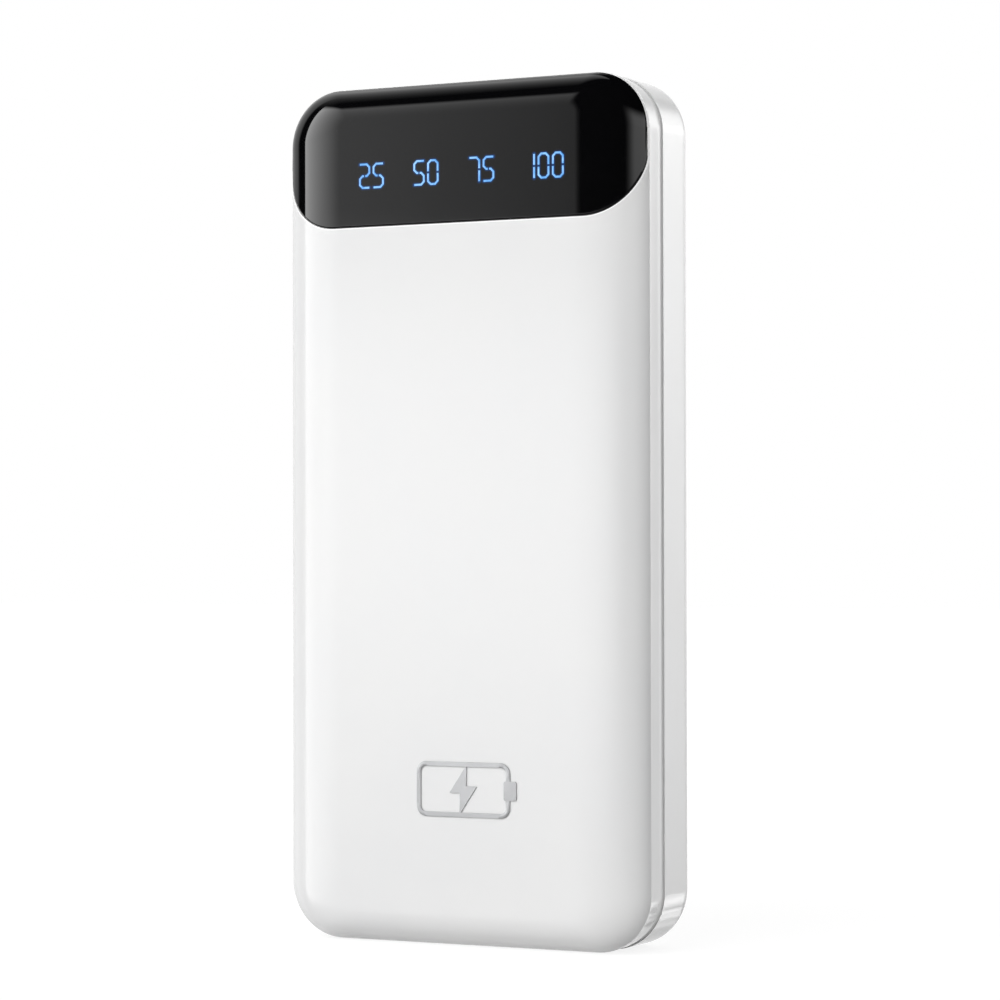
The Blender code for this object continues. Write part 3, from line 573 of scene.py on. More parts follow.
def build_rear_shell(finish):
    lap = PARTING + SEAM / 2
    rings = outer_back_rings()
    for step in range(EDGE_STEPS + 1):
        angle = math.radians(90 * step / EDGE_STEPS)
        rings.append(wall_ring(lap + EDGE * (1 - math.sin(angle)), EDGE * (1 - math.cos(angle))))
    profile = [(lap, EDGE + CRISP), (lap, LIP + GAP)]
    profile += [(lap - LIP_HEIGHT, LIP + GAP), (lap - LIP_HEIGHT, SIDE_WALL)]
    rings += wall_rings(profile) + back_rings(SIDE_WALL, FACE_WALL)
    shell = add_object("rear_case", lambda bm: loft(bm, rings), finish)

    inner = DEPTH - FACE_WALL + GAP
    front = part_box("main_board")[1].y + GAP
    rib_width, rib_length, rib_thickness = RIB_SIZE
    rib = rectangle(rib_width / 2, rib_thickness / 2)
    bosses, ribs, holes = [], [], []
    for screw in ("board_screw_left", "board_screw_right"):
        x, _, z = middle_of(screw)
        bosses.append(prism_tool("boss", "Y", circle(BOSS_RADIUS), front, at(inner), (x, z)))
        depths = (at(PARTING), at(BOSS_HOLE_DEPTH))
        holes.append(prism_tool("boss_hole", "Y", circle(BOSS_HOLE_RADIUS), *depths, (x, z)))
        depths = (at(inner - rib_length), at(inner))
        ribs.append(prism_tool("rib", "Y", rib, *depths, (math.copysign(RIB_X, x), RIB_Z)))
    combine(shell, "UNION", *bosses, *ribs)

    low, high = HEIGHT - SIDE_WALL - OVERSHOOT, HEIGHT + OVERSHOOT
    for name, (_, _, outline) in PORTS.items():
        centre = middle_of(name + "_shell")[:2]
        holes.append(prism_tool(name + "_hole", "Z", outline(GAP), low, high, centre))
    outline = pill(BUTTON_SIZE[0] / 2 + BUTTON_SEAM, BUTTON_SIZE[1] / 2 + BUTTON_SEAM)
    low, high = -HALF_WIDTH - OVERSHOOT, -HALF_WIDTH + SIDE_WALL + OVERSHOOT
    holes.append(prism_tool("button_hole", "X", outline, low, high, BUTTON_CENTRE))
    combine(shell, "DIFFERENCE", *holes)
    surface = add_tool("outer_back", lambda bm: loft(bm, outer_back_rings()))
    clean_surface(shell, surface, at(lap + EDGE + 2 * CRISP), REAR_HIGH.y, HOLE_EDGE)
    stand_for(shell, "rear_shell")


def outer_back_rings():
    """The outer back, from the flat face with its support ring down to the side wall's rounded edge."""
    rings = [wall_ring(DEPTH, BACK_ROUND + SUPPORT)] + back_rings(0, 0, BACK_STEPS)[::-1]
    rings.append(wall_ring(DEPTH - BACK_ROUND - SUPPORT, 0))
    rings.append(wall_ring(PARTING + SEAM / 2 + EDGE + CRISP, 0))
    return rings


def build_emblem(finish):
    """A generic battery outline with a bolt, as a thin foil with rounded corners."""
    low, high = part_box("battery_emblem")
    half_width = (high.x - TERMINAL_HALF[0] - low.x) / 2
    half_height = (high.z - low.z) / 2
    centre = (low.x + half_width, (low.z + high.z) / 2)
    outer = rounded(half_width, half_height, EMBLEM_CORNER, EMBLEM_CORNER)
    inner_corner = EMBLEM_CORNER - EMBLEM_BAR
    inner = rounded(half_width - EMBLEM_BAR, half_height - EMBLEM_BAR, inner_corner, inner_corner)
    terminal = soften(rectangle(*TERMINAL_HALF), TERMINAL_CORNER)
    bolt = [(BOLT_SLANT, BOLT_HALF_HEIGHT), (-BOLT_HALF_WIDTH, -BOLT_NOTCH), (-BOLT_NOTCH, -BOLT_NOTCH)]
    bolt += [(-a, -b) for a, b in bolt]
    sides = ((low.y, outer), (high.y, outer), (high.y, inner), (low.y, inner))
    rings = [ring("Y", y, outline, centre) for y, outline in sides]
    emblem = add_object("battery_mark", lambda bm: loft(bm, rings, ends=False), finish)
    end = (centre[0] + half_width, centre[1])
    tip = prism_tool("terminal", "Y", terminal, low.y, high.y, end)
    flash = prism_tool("bolt", "Y", soften(bolt, BOLT_CORNER), low.y, high.y, centre)
    combine(emblem, "UNION", tip, flash)
    add_fine_bevel(emblem)
    stand_for(emblem, "battery_emblem")


# Numerals


def chamfered(corners):
    """An open line along these corners, with each of them cut off."""
    line = corners[:1]
    for before, corner, after in zip(corners, corners[1:], corners[2:]):
        for end in (before, after):
            steps = [math.copysign(CHAMFER, b - a) if a != b else 0 for a, b in zip(corner, end)]
            line.append((corner[0] + steps[0], corner[1] + steps[1]))
    return line + corners[-1:]


def digit_strokes(digit, left):
    """The upper and lower strokes of a digit, as open lines of (x, z) points."""
    right = left + DIGIT_WIDTH - STROKE
    centre = (left + right) / 2
    top = DIGIT_HEIGHT / 2 - STROKE / 2
    split = STROKE / 2
    rightwards = [(left, top), (right, top)]
    right_turn = rightwards + [(right, 0), (centre + BAR_GAP / 2, 0)]
    left_turn = [(right, top), (left, top), (left, 0), (centre - BAR_GAP / 2, 0)]
    arch = [(left, split)] + rightwards + [(right, split)]
    upright = [(left, top), (left, split)]
    halves = {
        "0": (arch, arch),
        "1": (upright, upright),
        "2": (right_turn, left_turn),
        "5": (left_turn, right_turn),
        "7": (rightwards + [(right, split)], [(right, split), (right, top)]),
    }
    lines = zip((1, -1), halves[digit])
    return [[(x, DISPLAY_Z + up * z) for x, z in chamfered(half)] for up, half in lines]


def numeral_strokes(numeral, middle):
    widths = [STROKE if digit == "1" else DIGIT_WIDTH for digit in numeral]
    left = middle - (sum(widths) + DIGIT_SPACE * (len(widths) - 1)) / 2
    strokes = []
    for digit, width in zip(numeral, widths):
        strokes += digit_strokes(digit, left + STROKE / 2)
        left += width + DIGIT_SPACE
    return strokes


def side_points(points, reach):
    """The points beside an open line, this far to its left, with mitred corners."""
    points = [Vector(point) for point in points]
    steps = [(b - a).normalized() for a, b in zip(points, points[1:])]
    beside = []
    for point, first, second in zip(points, steps[:1] + steps, steps + steps[-1:]):
        along = (first + second).normalized()
        beside.append(tuple(point + Vector((-along.y, along.x)) * reach / along.dot(first)))
    return beside


def build_numerals(lit, glass):
    """Each numeral's lit strokes, and the glow round them in the glass."""
    for numeral in NUMERALS:
        strokes = numeral_strokes(numeral, middle_of("led_" + numeral)[0])

        def draw_strokes(bm):
            for line in strokes:
                crown = STROKE * CROWN_SHARE
                rows = ((STROKE / 2, 0), (crown, STROKE_RISE), (-crown, STROKE_RISE), (-STROKE / 2, 0))
                loops = []
                for reach, rise in rows:
                    loops.append([bm.verts.new((x, at(-rise), z)) for x, z in side_points(line, reach)])
                for first, second in zip(loops, loops[1:]):
                    join(bm, first, second, closed=False)

        light = add_object("numeral_" + numeral, draw_strokes, lit)
        face_forwards(light)
        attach(light, "case")
        build_glow(numeral, strokes, glass)


def distance_to(point, start, end):
    """Distance in the plane from a point to the part of a line between two points."""
    point, start, way = Vector(point), Vector(start), Vector(end) - Vector(start)
    share = max(0, min(1, (point - start).dot(way) / way.length_squared))
    return (point - start - way * share).length


def build_glow(numeral, strokes, glass):
    """A sheet of the window's glass that glows near the strokes. Its glow attribute falls to 0 at HALO."""
    parts = [part for line in strokes for part in zip(line, line[1:])]
    xs = [x for line in strokes for x, _ in line]
    margin = STROKE + HALO
    start_x, end_x = min(xs) - margin, max(xs) + margin
    half_height = DIGIT_HEIGHT / 2 + HALO + STROKE / 2
    columns = math.ceil((end_x - start_x) / HALO_CELL)
    rows = math.ceil(2 * half_height / HALO_CELL)

    def draw(bm):
        glow = bm.verts.layers.float.new("glow")
        grid = []
        for row in range(rows + 1):
            z = DISPLAY_Z - half_height + 2 * half_height * row / rows
            line = []
            for column in range(columns + 1):
                x = start_x + (end_x - start_x) * column / columns
                away = min(distance_to((x, z), *part) for part in parts) - STROKE / 2
                vert = bm.verts.new((x, at(-HALO_RISE), z))
                vert[glow] = max(0, 1 - max(0, away) / HALO) ** 2
                line.append(vert)
            grid.append(line)
        for low, high in zip(grid, grid[1:]):
            join(bm, low, high, closed=False)

    sheet = add_object("glow_" + numeral, draw, glass)
    face_forwards(sheet)
    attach(sheet, "case")


def face_forwards(obj):
    """Turns an open sheet's faces towards the front."""
    bm = opened(obj)
    bm.normal_update()
    bmesh.ops.reverse_faces(bm, faces=[face for face in bm.faces if face.normal.y > 0])
    bm.to_mesh(obj.data)
    bm.free()


# Sockets


def usb_a_outline(grow):
    return soften(rectangle(USB_A_SIZE[0] / 2 + grow, USB_A_SIZE[1] / 2 + grow), USB_A_CORNER + grow)


def usb_c_outline(grow):
    """A flat pill along X."""
    return [(a, -b) for b, a in pill(USB_C_SIZE[1] / 2 + grow, USB_C_SIZE[0] / 2 + grow)]


def micro_outline(grow):
    """A flat shape whose rear side has slanted corners."""
    half_width, half_height = MICRO_SIZE[0] / 2 + grow, MICRO_SIZE[1] / 2 + grow
    slope_start = (half_width, half_height - MICRO_SLOPE)
    slope_end = (half_width - MICRO_SLOPE, half_height)
    right = [(half_width, -half_height), slope_start, slope_end]
    return soften(right + [(-a, b) for a, b in reversed(right)], MICRO_CORNER + grow)


# Each socket's tongue, contacts (count, spacing, width, sides) and outline
USB_A = (USB_A_TONGUE, (4, 0.0024, 0.0011, (-1,)), usb_a_outline)
PORTS = {
    "usb_a_left": USB_A,
    "usb_a_right": USB_A,
    "micro_usb": (MICRO_TONGUE, (5, 0.00065, 0.0004, (-1,)), micro_outline),
    "usb_c": (USB_C_TONGUE, (12, 0.0005, 0.00027, (-1, 1)), usb_c_outline),
}


def build_port(name, steel, insulator, gold):
    """A steel shell with rounded lips, an insulator with a tongue, and contacts on the tongue."""
    tongue_size, contacts, outline = PORTS[name]
    low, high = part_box(name + "_shell")
    centre = middle_of(name + "_shell")[:2]
    lip = METAL / 2

    def draw_shell(bm):
        rings = [ring("Z", low.z, outline(0), centre)]
        for step in range(LIP_STEPS + 1):
            angle = math.pi * step / LIP_STEPS
            along = high.z - lip * (1 - math.sin(angle))
            rings.append(ring("Z", along, outline(-lip + lip * math.cos(angle)), centre))
        rings.append(ring("Z", low.z, outline(-METAL), centre))
        loft(bm, rings, ends=False)

    stand_for(add_object(name + "_socket", draw_shell, steel), name + "_shell")

    block_top = high.z - (high.z - low.z) * (1 - BLOCK_SHARE)
    width, thickness, offset, setback = tongue_size
    tip = high.z - setback
    middle = (centre[0], centre[1] + offset)
    block_sizes = ("Z", outline(-METAL - GAP), low.z, block_top, centre)
    body = add_object(name + "_body", lambda bm: prism(bm, *block_sizes), insulator)

    def draw_tongue(bm):
        edge = min(thickness / 4, TONGUE_EDGE)
        half = (width / 2, thickness / 2)
        root = block_top - TONGUE_ROOT
        rings = [ring("Z", z, soften(rectangle(*half), edge), middle) for z in (root, tip - edge)]
        slim = (half[0] - edge, half[1] - edge * TONGUE_TAPER)
        rings.append(ring("Z", tip, soften(rectangle(*slim), edge * TONGUE_TIP), middle))
        loft(bm, rings)

    combine(body, "UNION", add_tool("tongue", draw_tongue))
    stand_for(body, name + "_insulator")

    count, spacing, contact_width, sides = contacts

    def draw_contacts(bm):
        for pin in range(count):
            place = (middle[0] + (pin - (count - 1) / 2) * spacing, middle[1])
            for side in sides:
                draw_contact(bm, place, contact_width, side * thickness / 2, (block_top, tip))

    pins = add_object(name + "_contacts", draw_contacts, gold)
    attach(pins, "case")


def draw_contact(bm, place, width, surface, ends):
    """A flat contact on one side of a tongue, from its root to near its tip."""
    side = math.copysign(1, surface)
    root, tip = ends
    profile = [(root - TONGUE_ROOT / 2, 1)] + [(tip - down, share) for down, share in CONTACT_DIP]
    half, crown = width / 2, width / 2 * CONTACT_CROWN
    rings = []
    for z, share in profile:
        outer, inner = surface + side * CONTACT_RISE * share, surface - side * CONTACT_RISE
        corners = [(half, inner), (-half, inner), (-crown, outer), (crown, outer)]
        rings.append(ring("Z", z, corners, place))
    loft(bm, rings)


def build_springs(name, steel):
    """The four sprung fingers of a full-size socket, bent in from its two wide walls."""
    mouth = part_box(name + "_shell")[1].z
    centre = middle_of(name + "_shell")[:2]
    half = USB_A_SIZE[1] / 2 - METAL

    def draw(bm):
        for x in (centre[0] - SPRING_X, centre[0] + SPRING_X):
            for side in (-1, 1):
                rings = []
                for down, bow, half_width in SPRING:
                    near, far = side * (half - bow), side * (half - bow - SPRING_THICKNESS)
                    corners = [(-half_width, near), (half_width, near)]
                    corners += [(half_width, far), (-half_width, far)]
                    rings.append(ring("Z", mouth - down, corners, (x, centre[1])))
                loft(bm, rings)

    springs = add_object(name + "_springs", draw, steel)
    add_fine_bevel(springs)
    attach(springs, "case")


# Button


def build_button(finish):
    """A round-ended head with a shallow finger dish, a flange inside the wall and a stem."""
    low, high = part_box("power_button")
    half, length = BUTTON_SIZE[0] / 2, BUTTON_SIZE[1] / 2
    flange_front = -HALF_WIDTH + SIDE_WALL + GAP
    flange_back = flange_front + FLANGE_THICKNESS
    steps = [(low.x + BUTTON_DISH * sink, half - inset, length - inset) for inset, sink in DISH]
    for step in range(BUTTON_EDGE_STEPS + 1):
        angle = math.radians(90 * step / BUTTON_EDGE_STEPS)
        inset = BUTTON_EDGE * (1 - math.sin(angle))
        steps.append((low.x + BUTTON_EDGE * (1 - math.cos(angle)), half - inset, length - inset))
    steps += [
        (flange_front, half, length),
        (flange_front, half + FLANGE, length + FLANGE),
        (flange_back, half + FLANGE, length + FLANGE),
        (flange_back, STEM_SIZE[0] / 2, STEM_SIZE[1] / 2),
        (high.x, STEM_SIZE[0] / 2, STEM_SIZE[1] / 2),
    ]
    rings = [ring("X", along, pill(a, b, BUTTON_STEPS), BUTTON_CENTRE) for along, a, b in steps]
    button = add_object("button_cap", lambda bm: loft(bm, rings), finish)
    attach(button, "button")
    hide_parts("power_button")


# Materials

RIM_WIDTH = 0.00042  # width of the painted highlight and glow on the shell's rim beside the window
# strength of the painted glow on that rim
RIM_PAINTED_GLOW = 0.16
HALO_GLOW = 0.55
BRUSHED = (1, 1, 0.05)
NOISE_MIDDLE = (0.3, 0.7)
SEAM_REACH = 0.0006  # width of a gap that gets dust and painted shade
# how far narrow gaps go to the darker tone, partly dust and partly painted shade
DUST_AND_SHADE_SHARE = 0.6


class Graph:
    """Adds shader nodes to a material or a world, and links or sets their inputs."""

    def __init__(self, owner):
        owner.use_nodes = True
        self.tree = owner.node_tree
        self.tree.nodes.clear()

    def add(self, kind, inputs=None, output=0, **settings):
        node = self.tree.nodes.new("ShaderNode" + kind)
        for name, value in settings.items():
            setattr(node, name, value)
        for key, value in (inputs or {}).items():
            if isinstance(value, bpy.types.NodeSocket):
                self.tree.links.new(value, node.inputs[key])
            else:
                node.inputs[key].default_value = value
        return node.outputs[output] if node.outputs else None

    def math(self, operation, *values):
        return self.add("Math", dict(enumerate(values)), operation=operation)

    def total(self, values):
        result = values[0]
        for value in values[1:]:
            result = self.math("ADD", result, value)
        return result

    def slope(self, value, start, end, low, high, kind="LINEAR"):
        """Goes straight from low at start to high at end."""
        inputs = {"Value": value, "From Min": start, "From Max": end, "To Min": low, "To Max": high}
        return self.add("MapRange", inputs, interpolation_type=kind)

    def ramp(self, value, start, end, low=0.0, high=1.0):
        """Goes smoothly from low at start to high at end."""
        return self.slope(value, start, end, low, high, "SMOOTHSTEP")

    def vary(self, noise, low=0.0, high=1.0):
        """Goes from low to high over the middle of a noise's range."""
        return self.ramp(noise, *NOISE_MIDDLE, low, high)

    def place(self, stretch=(1, 1, 1)):
        """The position in metres, stretched along each axis."""
        position = self.add("TexCoord", output="Object")
        return self.add("Mapping", {"Vector": position, "Scale": stretch})

    def noise(self, scale, detail, stretch=(1, 1, 1)):
        inputs = {"Vector": self.place(stretch), "Scale": scale, "Detail": detail}
        return self.add("TexNoise", inputs, output="Fac")

    def mix(self, share, first, second):
        return self.add("Mix", {0: share, 6: first, 7: second}, output=2, data_type="RGBA")

    def bump(self, height, strength, distance):
        return self.add("Bump", {"Height": height, "Strength": strength, "Distance": distance})

    def split(self, vector):
        return self.add("SeparateXYZ", {"Vector": vector}).node.outputs


def grey(level):
    return (level, level, level, 1)


def finish_material(name, draw):
    """A material whose draw function returns its Principled BSDF inputs."""
    made = bpy.data.materials.new(name)
    graph = Graph(made)
    shader = graph.add("BsdfPrincipled", draw(graph))
    graph.add("OutputMaterial", {"Surface": shader})
    return made


def clear_of_dust_and_shade(graph):
    """1 on open surfaces, and less in narrow gaps, which turn darker: partly dust, partly painted shade."""
    open_share = graph.add("AmbientOcclusion", {"Distance": SEAM_REACH}, output="AO", samples=8)
    return graph.ramp(open_share, 0.02, 0.3, 1 - DUST_AND_SHADE_SHARE, 1.0)


def painted_rim_highlight(graph):
    """1 on the shell's thin edge beside the window, where a highlight and a glow are painted, down to 0."""
    x, y, z = graph.split(graph.add("TexCoord", output="Object"))
    corner_x = HALF_WIDTH - WINDOW_SIDE - WINDOW_CORNER
    across = graph.math("SUBTRACT", graph.math("ABSOLUTE", x), corner_x)
    down = graph.math("SUBTRACT", HEIGHT - WINDOW_DROP + WINDOW_CORNER, z)
    across, down = graph.math("MAXIMUM", across, 0.0), graph.math("MAXIMUM", down, 0.0)
    squares = graph.math("ADD", graph.math("POWER", across, 2), graph.math("POWER", down, 2))
    beside = graph.math("SUBTRACT", graph.math("SQRT", squares), WINDOW_CORNER)
    behind = graph.math("SUBTRACT", y, at(WINDOW_DEPTH))
    away = graph.math("MAXIMUM", beside, behind)
    return graph.ramp(away, RIM_WIDTH, RIM_WIDTH * 0.6)


def white_gloss(graph):
    """Glossy white ABS: a trace of orange peel, fine scratches, and edges rubbed smooth. Narrow gaps turn
    darker, partly dust and partly painted shade, and the rim beside the window has a painted highlight and
    glow.
    """
    cloud = graph.noise(45, 4)
    peel = graph.noise(900, 2)
    scratches = graph.noise(700, 6, (1, 1, 0.04))
    hairs = graph.ramp(scratches, 0.66, 0.74)
    edges = graph.ramp(graph.add("NewGeometry", output="Pointiness"), 0.52, 0.6)
    tone = graph.mix(graph.vary(cloud), (0.846, 0.848, 0.85, 1), (0.862, 0.862, 0.86, 1))
    rim = painted_rim_highlight(graph)
    # Narrow gaps turn a darker, dusty tone: partly dust, partly painted shade
    tone_with_dust_shade_and_highlight = graph.mix(clear_of_dust_and_shade(graph), (0.77, 0.765, 0.755, 1), tone)
    # The rim beside the window is painted lighter: a painted highlight
    tone_with_dust_shade_and_highlight = graph.mix(rim, tone_with_dust_shade_and_highlight, grey(0.95))
    rough = graph.math("ADD", graph.vary(cloud, 0.1, 0.14), graph.math("MULTIPLY", hairs, 0.06))
    rough = graph.math("SUBTRACT", rough, graph.math("MULTIPLY", edges, 0.03))
    height = graph.math("SUBTRACT", peel, graph.math("MULTIPLY", hairs, 0.3))
    return {
        "Base Color": tone_with_dust_shade_and_highlight,
        "Roughness": rough,
        "Normal": graph.bump(height, 0.12, 0.00003),
        "IOR": 1.38,
        "Emission Color": grey(1),
        # a painted glow on the rim beside the window
        "Emission Strength": graph.math("MULTIPLY", rim, RIM_PAINTED_GLOW),
    }


def black_lens(graph):
    """Hard-coated black acrylic, with a little haze and dust."""
    cloud = graph.noise(60, 4)
    dust = graph.ramp(graph.noise(5200, 1), 0.76, 0.8)
    return {
        "Base Color": graph.mix(dust, (0.0022, 0.0022, 0.0026, 1), (0.02, 0.02, 0.021, 1)),
        "Roughness": graph.vary(cloud, 0.03, 0.055),
        "Normal": graph.bump(graph.noise(260, 2), 0.05, 0.00003),
        "IOR": 1.5,
    }


def glowing_lens(graph):
    """The window's glass, with light from the numerals in it."""
    inputs = black_lens(graph)
    glow = graph.add("Attribute", output="Fac", attribute_name="glow")
    inputs["Emission Color"] = (0.0, 0.075, 0.32, 1)
    inputs["Emission Strength"] = graph.math("MULTIPLY", glow, HALO_GLOW)
    return inputs


def lit_stroke(graph):
    cloud = graph.noise(900, 2)
    colour = graph.mix(graph.ramp(cloud, 0.35, 0.65), (0.13, 0.42, 0.93, 1), (0.25, 0.55, 1.0, 1))
    return {
        "Base Color": (0.02, 0.05, 0.09, 1),
        "Roughness": 0.1,
        "Emission Color": colour,
        "Emission Strength": graph.vary(cloud, 0.92, 1.08),
    }


def grained(tones, roughness, sizes, bump, metallic):
    """A finish with a fine grain and a slight change of tone, whose noises have these two sizes."""

    def draw(graph):
        grain, cloud = (graph.noise(*size) for size in sizes)
        return {
            "Base Color": graph.mix(graph.vary(cloud), *((*tone, 1) for tone in tones)),
            "Metallic": metallic,
            "Roughness": graph.vary(grain, *roughness),
            "Normal": graph.bump(grain, *bump),
        }

    return draw


def metal(tone, low_rough, high_rough, stretch=(1, 1, 1), bump=0.2, share=1.0):
    """A metal brushed along the axis with the smallest stretch, or a silver print with a lower share."""
    darker = [part * 0.86 for part in tone]
    sizes = ((2600, 4, stretch), (120, 3))
    return grained((darker, tone), (low_rough, high_rough), sizes, (bump, 0.00002), share)


def plastic(tone, low_rough, high_rough, scale=1500, bump=0.25):
    """A moulded or coated surface."""
    lighter = [min(1, part * 1.25 + 0.004) for part in tone]
    sizes = ((scale, 4), (140, 3))
    return grained((tone, lighter), (low_rough, high_rough), sizes, (bump, 0.00003), 0)


def solder_mask(graph):
    """Green lacquer with faint copper tracks under it."""
    tracks = graph.add(
        "TexBrick",
        {
            "Vector": graph.add("TexCoord", output="Object"),
            "Scale": 260,
            "Color1": (0.010, 0.11, 0.045, 1),
            "Color2": (0.012, 0.125, 0.052, 1),
            "Mortar": (0.018, 0.19, 0.075, 1),
            "Mortar Size": 0.03,
        },
    )
    weave = graph.noise(1800, 3)
    return {
        "Base Color": tracks,
        "Roughness": graph.vary(weave, 0.25, 0.38),
        "Normal": graph.bump(weave, 0.2, 0.00003),
    }


def foam(graph):
    inputs = {"Vector": graph.place(), "Scale": 2600}
    cells = graph.add("TexVoronoi", inputs, feature="DISTANCE_TO_EDGE")
    tone = graph.mix(graph.ramp(cells, 0.02, 0.25), (0.24, 0.24, 0.25, 1), (0.09, 0.09, 0.095, 1))
    return {
        "Base Color": tone,
        "Roughness": graph.ramp(cells, 0.0, 0.3, 0.95, 0.8),
        "Normal": graph.bump(cells, 0.8, 0.0002),
    }


def pouch_foil(graph):
    """Aluminium laminate with the slight dents of a pouch cell."""
    dents = graph.noise(110, 2)
    grain = graph.noise(2400, 3)
    tone = graph.mix(graph.vary(dents), (0.60, 0.61, 0.63, 1), (0.72, 0.73, 0.75, 1))
    return {
        "Base Color": tone,
        "Metallic": 0.9,
        "Roughness": graph.vary(grain, 0.32, 0.45),
        "Normal": graph.bump(dents, 0.35, 0.0006),
    }


LOOKS = {
    "white_gloss": white_gloss,
    "black_gloss": black_lens,
    "window_glow": glowing_lens,
    "silver_foil": metal((0.50, 0.505, 0.515), 0.3, 0.38, bump=0.04, share=0.42),
    "black_film": plastic((0.008, 0.008, 0.009), 0.4, 0.55),
    "milky_film": plastic((0.72, 0.73, 0.75), 0.45, 0.6),
    "white_plastic": plastic((0.74, 0.74, 0.73), 0.35, 0.5),
    "blue_led": lit_stroke,
    "green_board": solder_mask,
    "black_component": plastic((0.012, 0.012, 0.013), 0.4, 0.6, 2600),
    "capacitor_body": plastic((0.36, 0.25, 0.16), 0.35, 0.5, 2600),
    "ferrite": plastic((0.035, 0.034, 0.036), 0.55, 0.75, 2600, 0.5),
    "nickelled_steel": metal((0.70, 0.69, 0.67), 0.18, 0.34, BRUSHED),
    "screw_steel": metal((0.58, 0.58, 0.58), 0.25, 0.4),
    "socket_insulator": plastic((0.016, 0.016, 0.017), 0.35, 0.5),
    "cell_foil": pouch_foil,
    "grey_foam": foam,
    "cell_tape": plastic((0.62, 0.58, 0.42), 0.3, 0.5),
    "nickel_strip": metal((0.66, 0.64, 0.58), 0.22, 0.36, BRUSHED),
    "gold_contact": metal((0.95, 0.68, 0.30), 0.15, 0.28, BRUSHED),
    "red_insulation": plastic((0.45, 0.02, 0.015), 0.35, 0.5),
    "black_insulation": plastic((0.014, 0.014, 0.014), 0.35, 0.5),
}


def dress_model(finishes):
    """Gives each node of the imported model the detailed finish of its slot."""
    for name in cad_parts:
        for place in bpy.data.objects[name].material_slots:
            place.material = finishes[place.material.name]


# Studio

# The camera: its angles round the middle of the case, and its place in that view (across, up, away)
CAMERA_AZIMUTH = math.radians(27.59)
CAMERA_RISE = math.radians(0.83)
CAMERA_ROLL = math.radians(-0.11)
CAMERA_PLACE = (0.00255, 0.00218, 0.5787)
CAMERA_LENS = 122.8
CAMERA_SENSOR = 36
CAMERA_RANGE = (0.01, 50)

FLOOR_HALF = 3.0
FLOOR_TONES = (0.60, 0.64)  # as the part sees it
FLOOR_GLOW = 0.86  # as the camera sees it, with FLOOR_SHADED for the share that shadows take away
FLOOR_SHADED = 0.22


def add_camera():
    data = bpy.data.cameras.new("camera")
    data.lens = CAMERA_LENS
    data.sensor_width = CAMERA_SENSOR
    data.clip_start, data.clip_end = CAMERA_RANGE
    camera = bpy.data.objects.new("camera", data)
    bpy.context.scene.collection.objects.link(camera)
    turn = Matrix.Rotation(CAMERA_AZIMUTH, 4, "Z") @ Matrix.Rotation(math.pi / 2 + CAMERA_RISE, 4, "X")
    turn = turn @ Matrix.Rotation(CAMERA_ROLL, 4, "Z")
    centre = Matrix.Translation((0, 0, HEIGHT / 2))
    camera.matrix_world = centre @ turn @ Matrix.Translation(CAMERA_PLACE)
    bpy.context.scene.camera = camera


# Cards in the glossy surroundings, each under the part that mostly reflects it in the photo's view. Angles
# are in degrees, and azimuths go from the front (-Y) towards the right (+X). A card has its low and high
# side (azimuth, softness), its strengths there, its bottom and top (elevation, softness), and its shares
# at the ends of RISE
CARDS = (
    # The left part of the front and of the window
    ((-67, 0.8), (-24.5, 4.5), (5.6, 0.3), (-14, 4), (34.5, 9), (0.65, 1)),
    # The flat face
    ((-50, 24), (0, 40), (1.5, 4.5), (-3.7, 7), (4.2, 2.2), (1, 1)),
    # The flat face's upper left part
    ((-43, 8), (-27.4, 5), (1.2, 1.2), (-1.4, 2), (5, 1.5), (1, 1)),
    # The window's roll at the top
    ((-138, 14), (-50, 1), (1.15, 0), (42, 24), (100, 1), (1, 1)),
    # The outermost edges, and the left side in other views
    ((-181, 1), (-84, 8), (1.2, 0.7), (-90, 1), (46, 40), (1, 1)),
    # The right roll
    ((30, 22), (110, 16), (1.5, 2.0), (-16, 6), (22, 16), (0, 1)),
    # The rear case's side wall
    ((134, 14), (156.4, 2.4), (6.4, 6.4), (-8.2, 1.6), (48, 1.5), (0.34, 1)),
    # The front case's side wall
    ((156.4, 2.4), (166, 10), (2.9, 2.9), (-10.5, 2.5), (48, 1.5), (0.56, 0.92)),
    # The top right corner
    ((134, 14), (172, 8), (4.6, 0.9), (8, 5), (48, 1.5), (1, 1)),
    # The bottom right corner, in five steps
    ((146, 8), (157, 1), (5.8, 5.8), (-44, 20), (-8.2, 1.6), (1, 1)),
    ((157, 1), (161, 3), (5.8, 5.4), (-44, 20), (-10.9, 1.6), (1, 1)),
    ((161, 3), (166.5, 2), (5.2, 4.6), (-44, 20), (-19.2, 1.6), (1, 1)),
    ((166.5, 2), (172, 2), (3.9, 3.1), (-44, 20), (-21.6, 1.6), (1, 1)),
    ((172, 2), (181, 1), (2.6, 2.1), (-44, 20), (-24.4, 1.6), (1, 1)),
    # The rear case's far edge
    ((164, 8), (181, 1), (2.3, 2.3), (-18, 8), (9, 5), (0.45, 1)),
    # The far edge at the top right corner
    ((170, 14), (181, 1), (1.1, 1.1), (8, 4), (46, 40), (1, 1)),
)
RISE = (-8, 8)

# Lobes of soft light on the matte surfaces: azimuth, elevation, power and strength
LOBES = ((-45, 20, 4, 0.55), (-18, 28, 5, 2.98), (-165, 20, 3, 0.85), (150, 20, 4, 1.30))


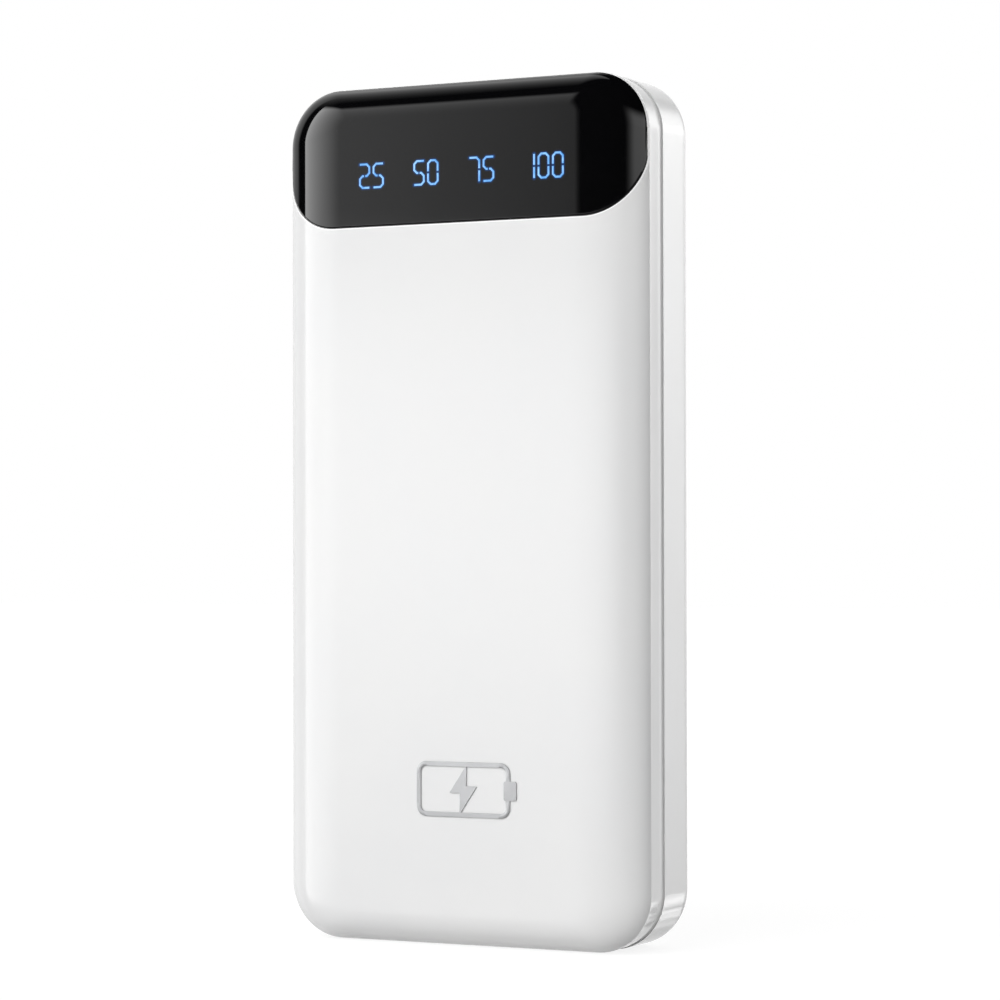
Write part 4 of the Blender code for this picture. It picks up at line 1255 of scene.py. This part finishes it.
def build_world():
    """White for the camera, soft light for matte surfaces, and studio cards for the reflections."""
    world = bpy.data.worlds.new("studio")
    bpy.context.scene.world = world
    graph = Graph(world)
    direction = graph.add("TexCoord", output="Generated")
    x, y, z = graph.split(direction)
    azimuth = graph.math("DEGREES", graph.math("ARCTAN2", x, graph.math("MULTIPLY", y, -1)))
    elevation = graph.math("DEGREES", graph.math("ARCSINE", z))

    cards = []
    for low, high, strengths, bottom, top, shares in CARDS:
        strength = graph.slope(azimuth, low[0], high[0], *strengths)
        strength = graph.math("MULTIPLY", strength, graph.slope(elevation, *RISE, *shares))
        sides = ((azimuth, low, 1), (azimuth, high, -1), (elevation, bottom, 1), (elevation, top, -1))
        for angle, (edge, softness), inwards in sides:
            reach = inwards * softness / 2
            share = graph.ramp(angle, edge - reach, edge + reach)
            strength = graph.math("MULTIPLY", strength, share)
        cards.append(strength)
    glossy = graph.total(cards)

    def towards(lobe_azimuth, lobe_elevation, power):
        """How far the direction points to a lobe's middle, from 1 to 0."""
        turn, rise = math.radians(lobe_azimuth), math.radians(lobe_elevation)
        axis = (math.cos(rise) * math.sin(turn), -math.cos(rise) * math.cos(turn), math.sin(rise))
        dot = graph.add("VectorMath", {0: direction, 1: axis}, "Value", operation="DOT_PRODUCT")
        return graph.math("POWER", graph.math("MAXIMUM", dot, 0.0), power)

    soft = graph.total([graph.math("MULTIPLY", towards(*lobe), strength) for *lobe, strength in LOBES])
    path = graph.add("LightPath", output="Is Camera Ray")
    is_glossy = path.node.outputs["Is Glossy Ray"]
    level = graph.add("Mix", {0: is_glossy, 2: soft, 3: glossy}, data_type="FLOAT")
    level = graph.add("Mix", {0: path, 2: level, 3: 1.0}, data_type="FLOAT")
    background = graph.add("Background", {"Color": grey(1), "Strength": level})
    graph.add("OutputWorld", {"Surface": background})


def build_floor():
    """A pale floor that looks nearly white from the camera, with a faint contact shadow."""
    sizes = {"x_segments": 2, "y_segments": 2, "size": FLOOR_HALF}
    floor = add_object("floor", lambda bm: bmesh.ops.create_grid(bm, **sizes))
    floor.location.z = -GAP / 2
    floor.visible_glossy = False
    made = bpy.data.materials.new("floor")
    graph = Graph(made)
    grain = graph.noise(30, 4)
    tone = graph.mix(grain, *(grey(level) for level in FLOOR_TONES))
    matte = graph.add("BsdfDiffuse", {"Color": tone})
    shadow = graph.add("BsdfDiffuse", {"Color": grey(FLOOR_SHADED)})
    glow = graph.add("Emission", {"Color": grey(1), "Strength": FLOOR_GLOW})
    pale = graph.add("AddShader", {0: shadow, 1: glow})
    is_seen = graph.add("LightPath", output="Is Camera Ray")
    seen = graph.add("MixShader", {0: is_seen, 1: matte, 2: pale})
    graph.add("OutputMaterial", {"Surface": seen})
    floor.data.materials.append(made)


def main():
    bpy.context.scene.view_settings.view_transform = "Standard"
    finishes = {name: finish_material(name + "_finish", draw) for name, draw in LOOKS.items()}
    dress_model(finishes)
    build_front_shell(finishes["white_gloss"])
    build_rear_shell(finishes["white_gloss"])
    build_window(finishes["black_gloss"])
    build_emblem(finishes["silver_foil"])
    build_numerals(finishes["blue_led"], finishes["window_glow"])
    steel = finishes["nickelled_steel"]
    for name in PORTS:
        build_port(name, steel, finishes["socket_insulator"], finishes["gold_contact"])
    for name in ("usb_a_left", "usb_a_right"):
        build_springs(name, steel)
    build_button(finishes["white_gloss"])
    build_world()
    build_floor()
    add_camera()


main()
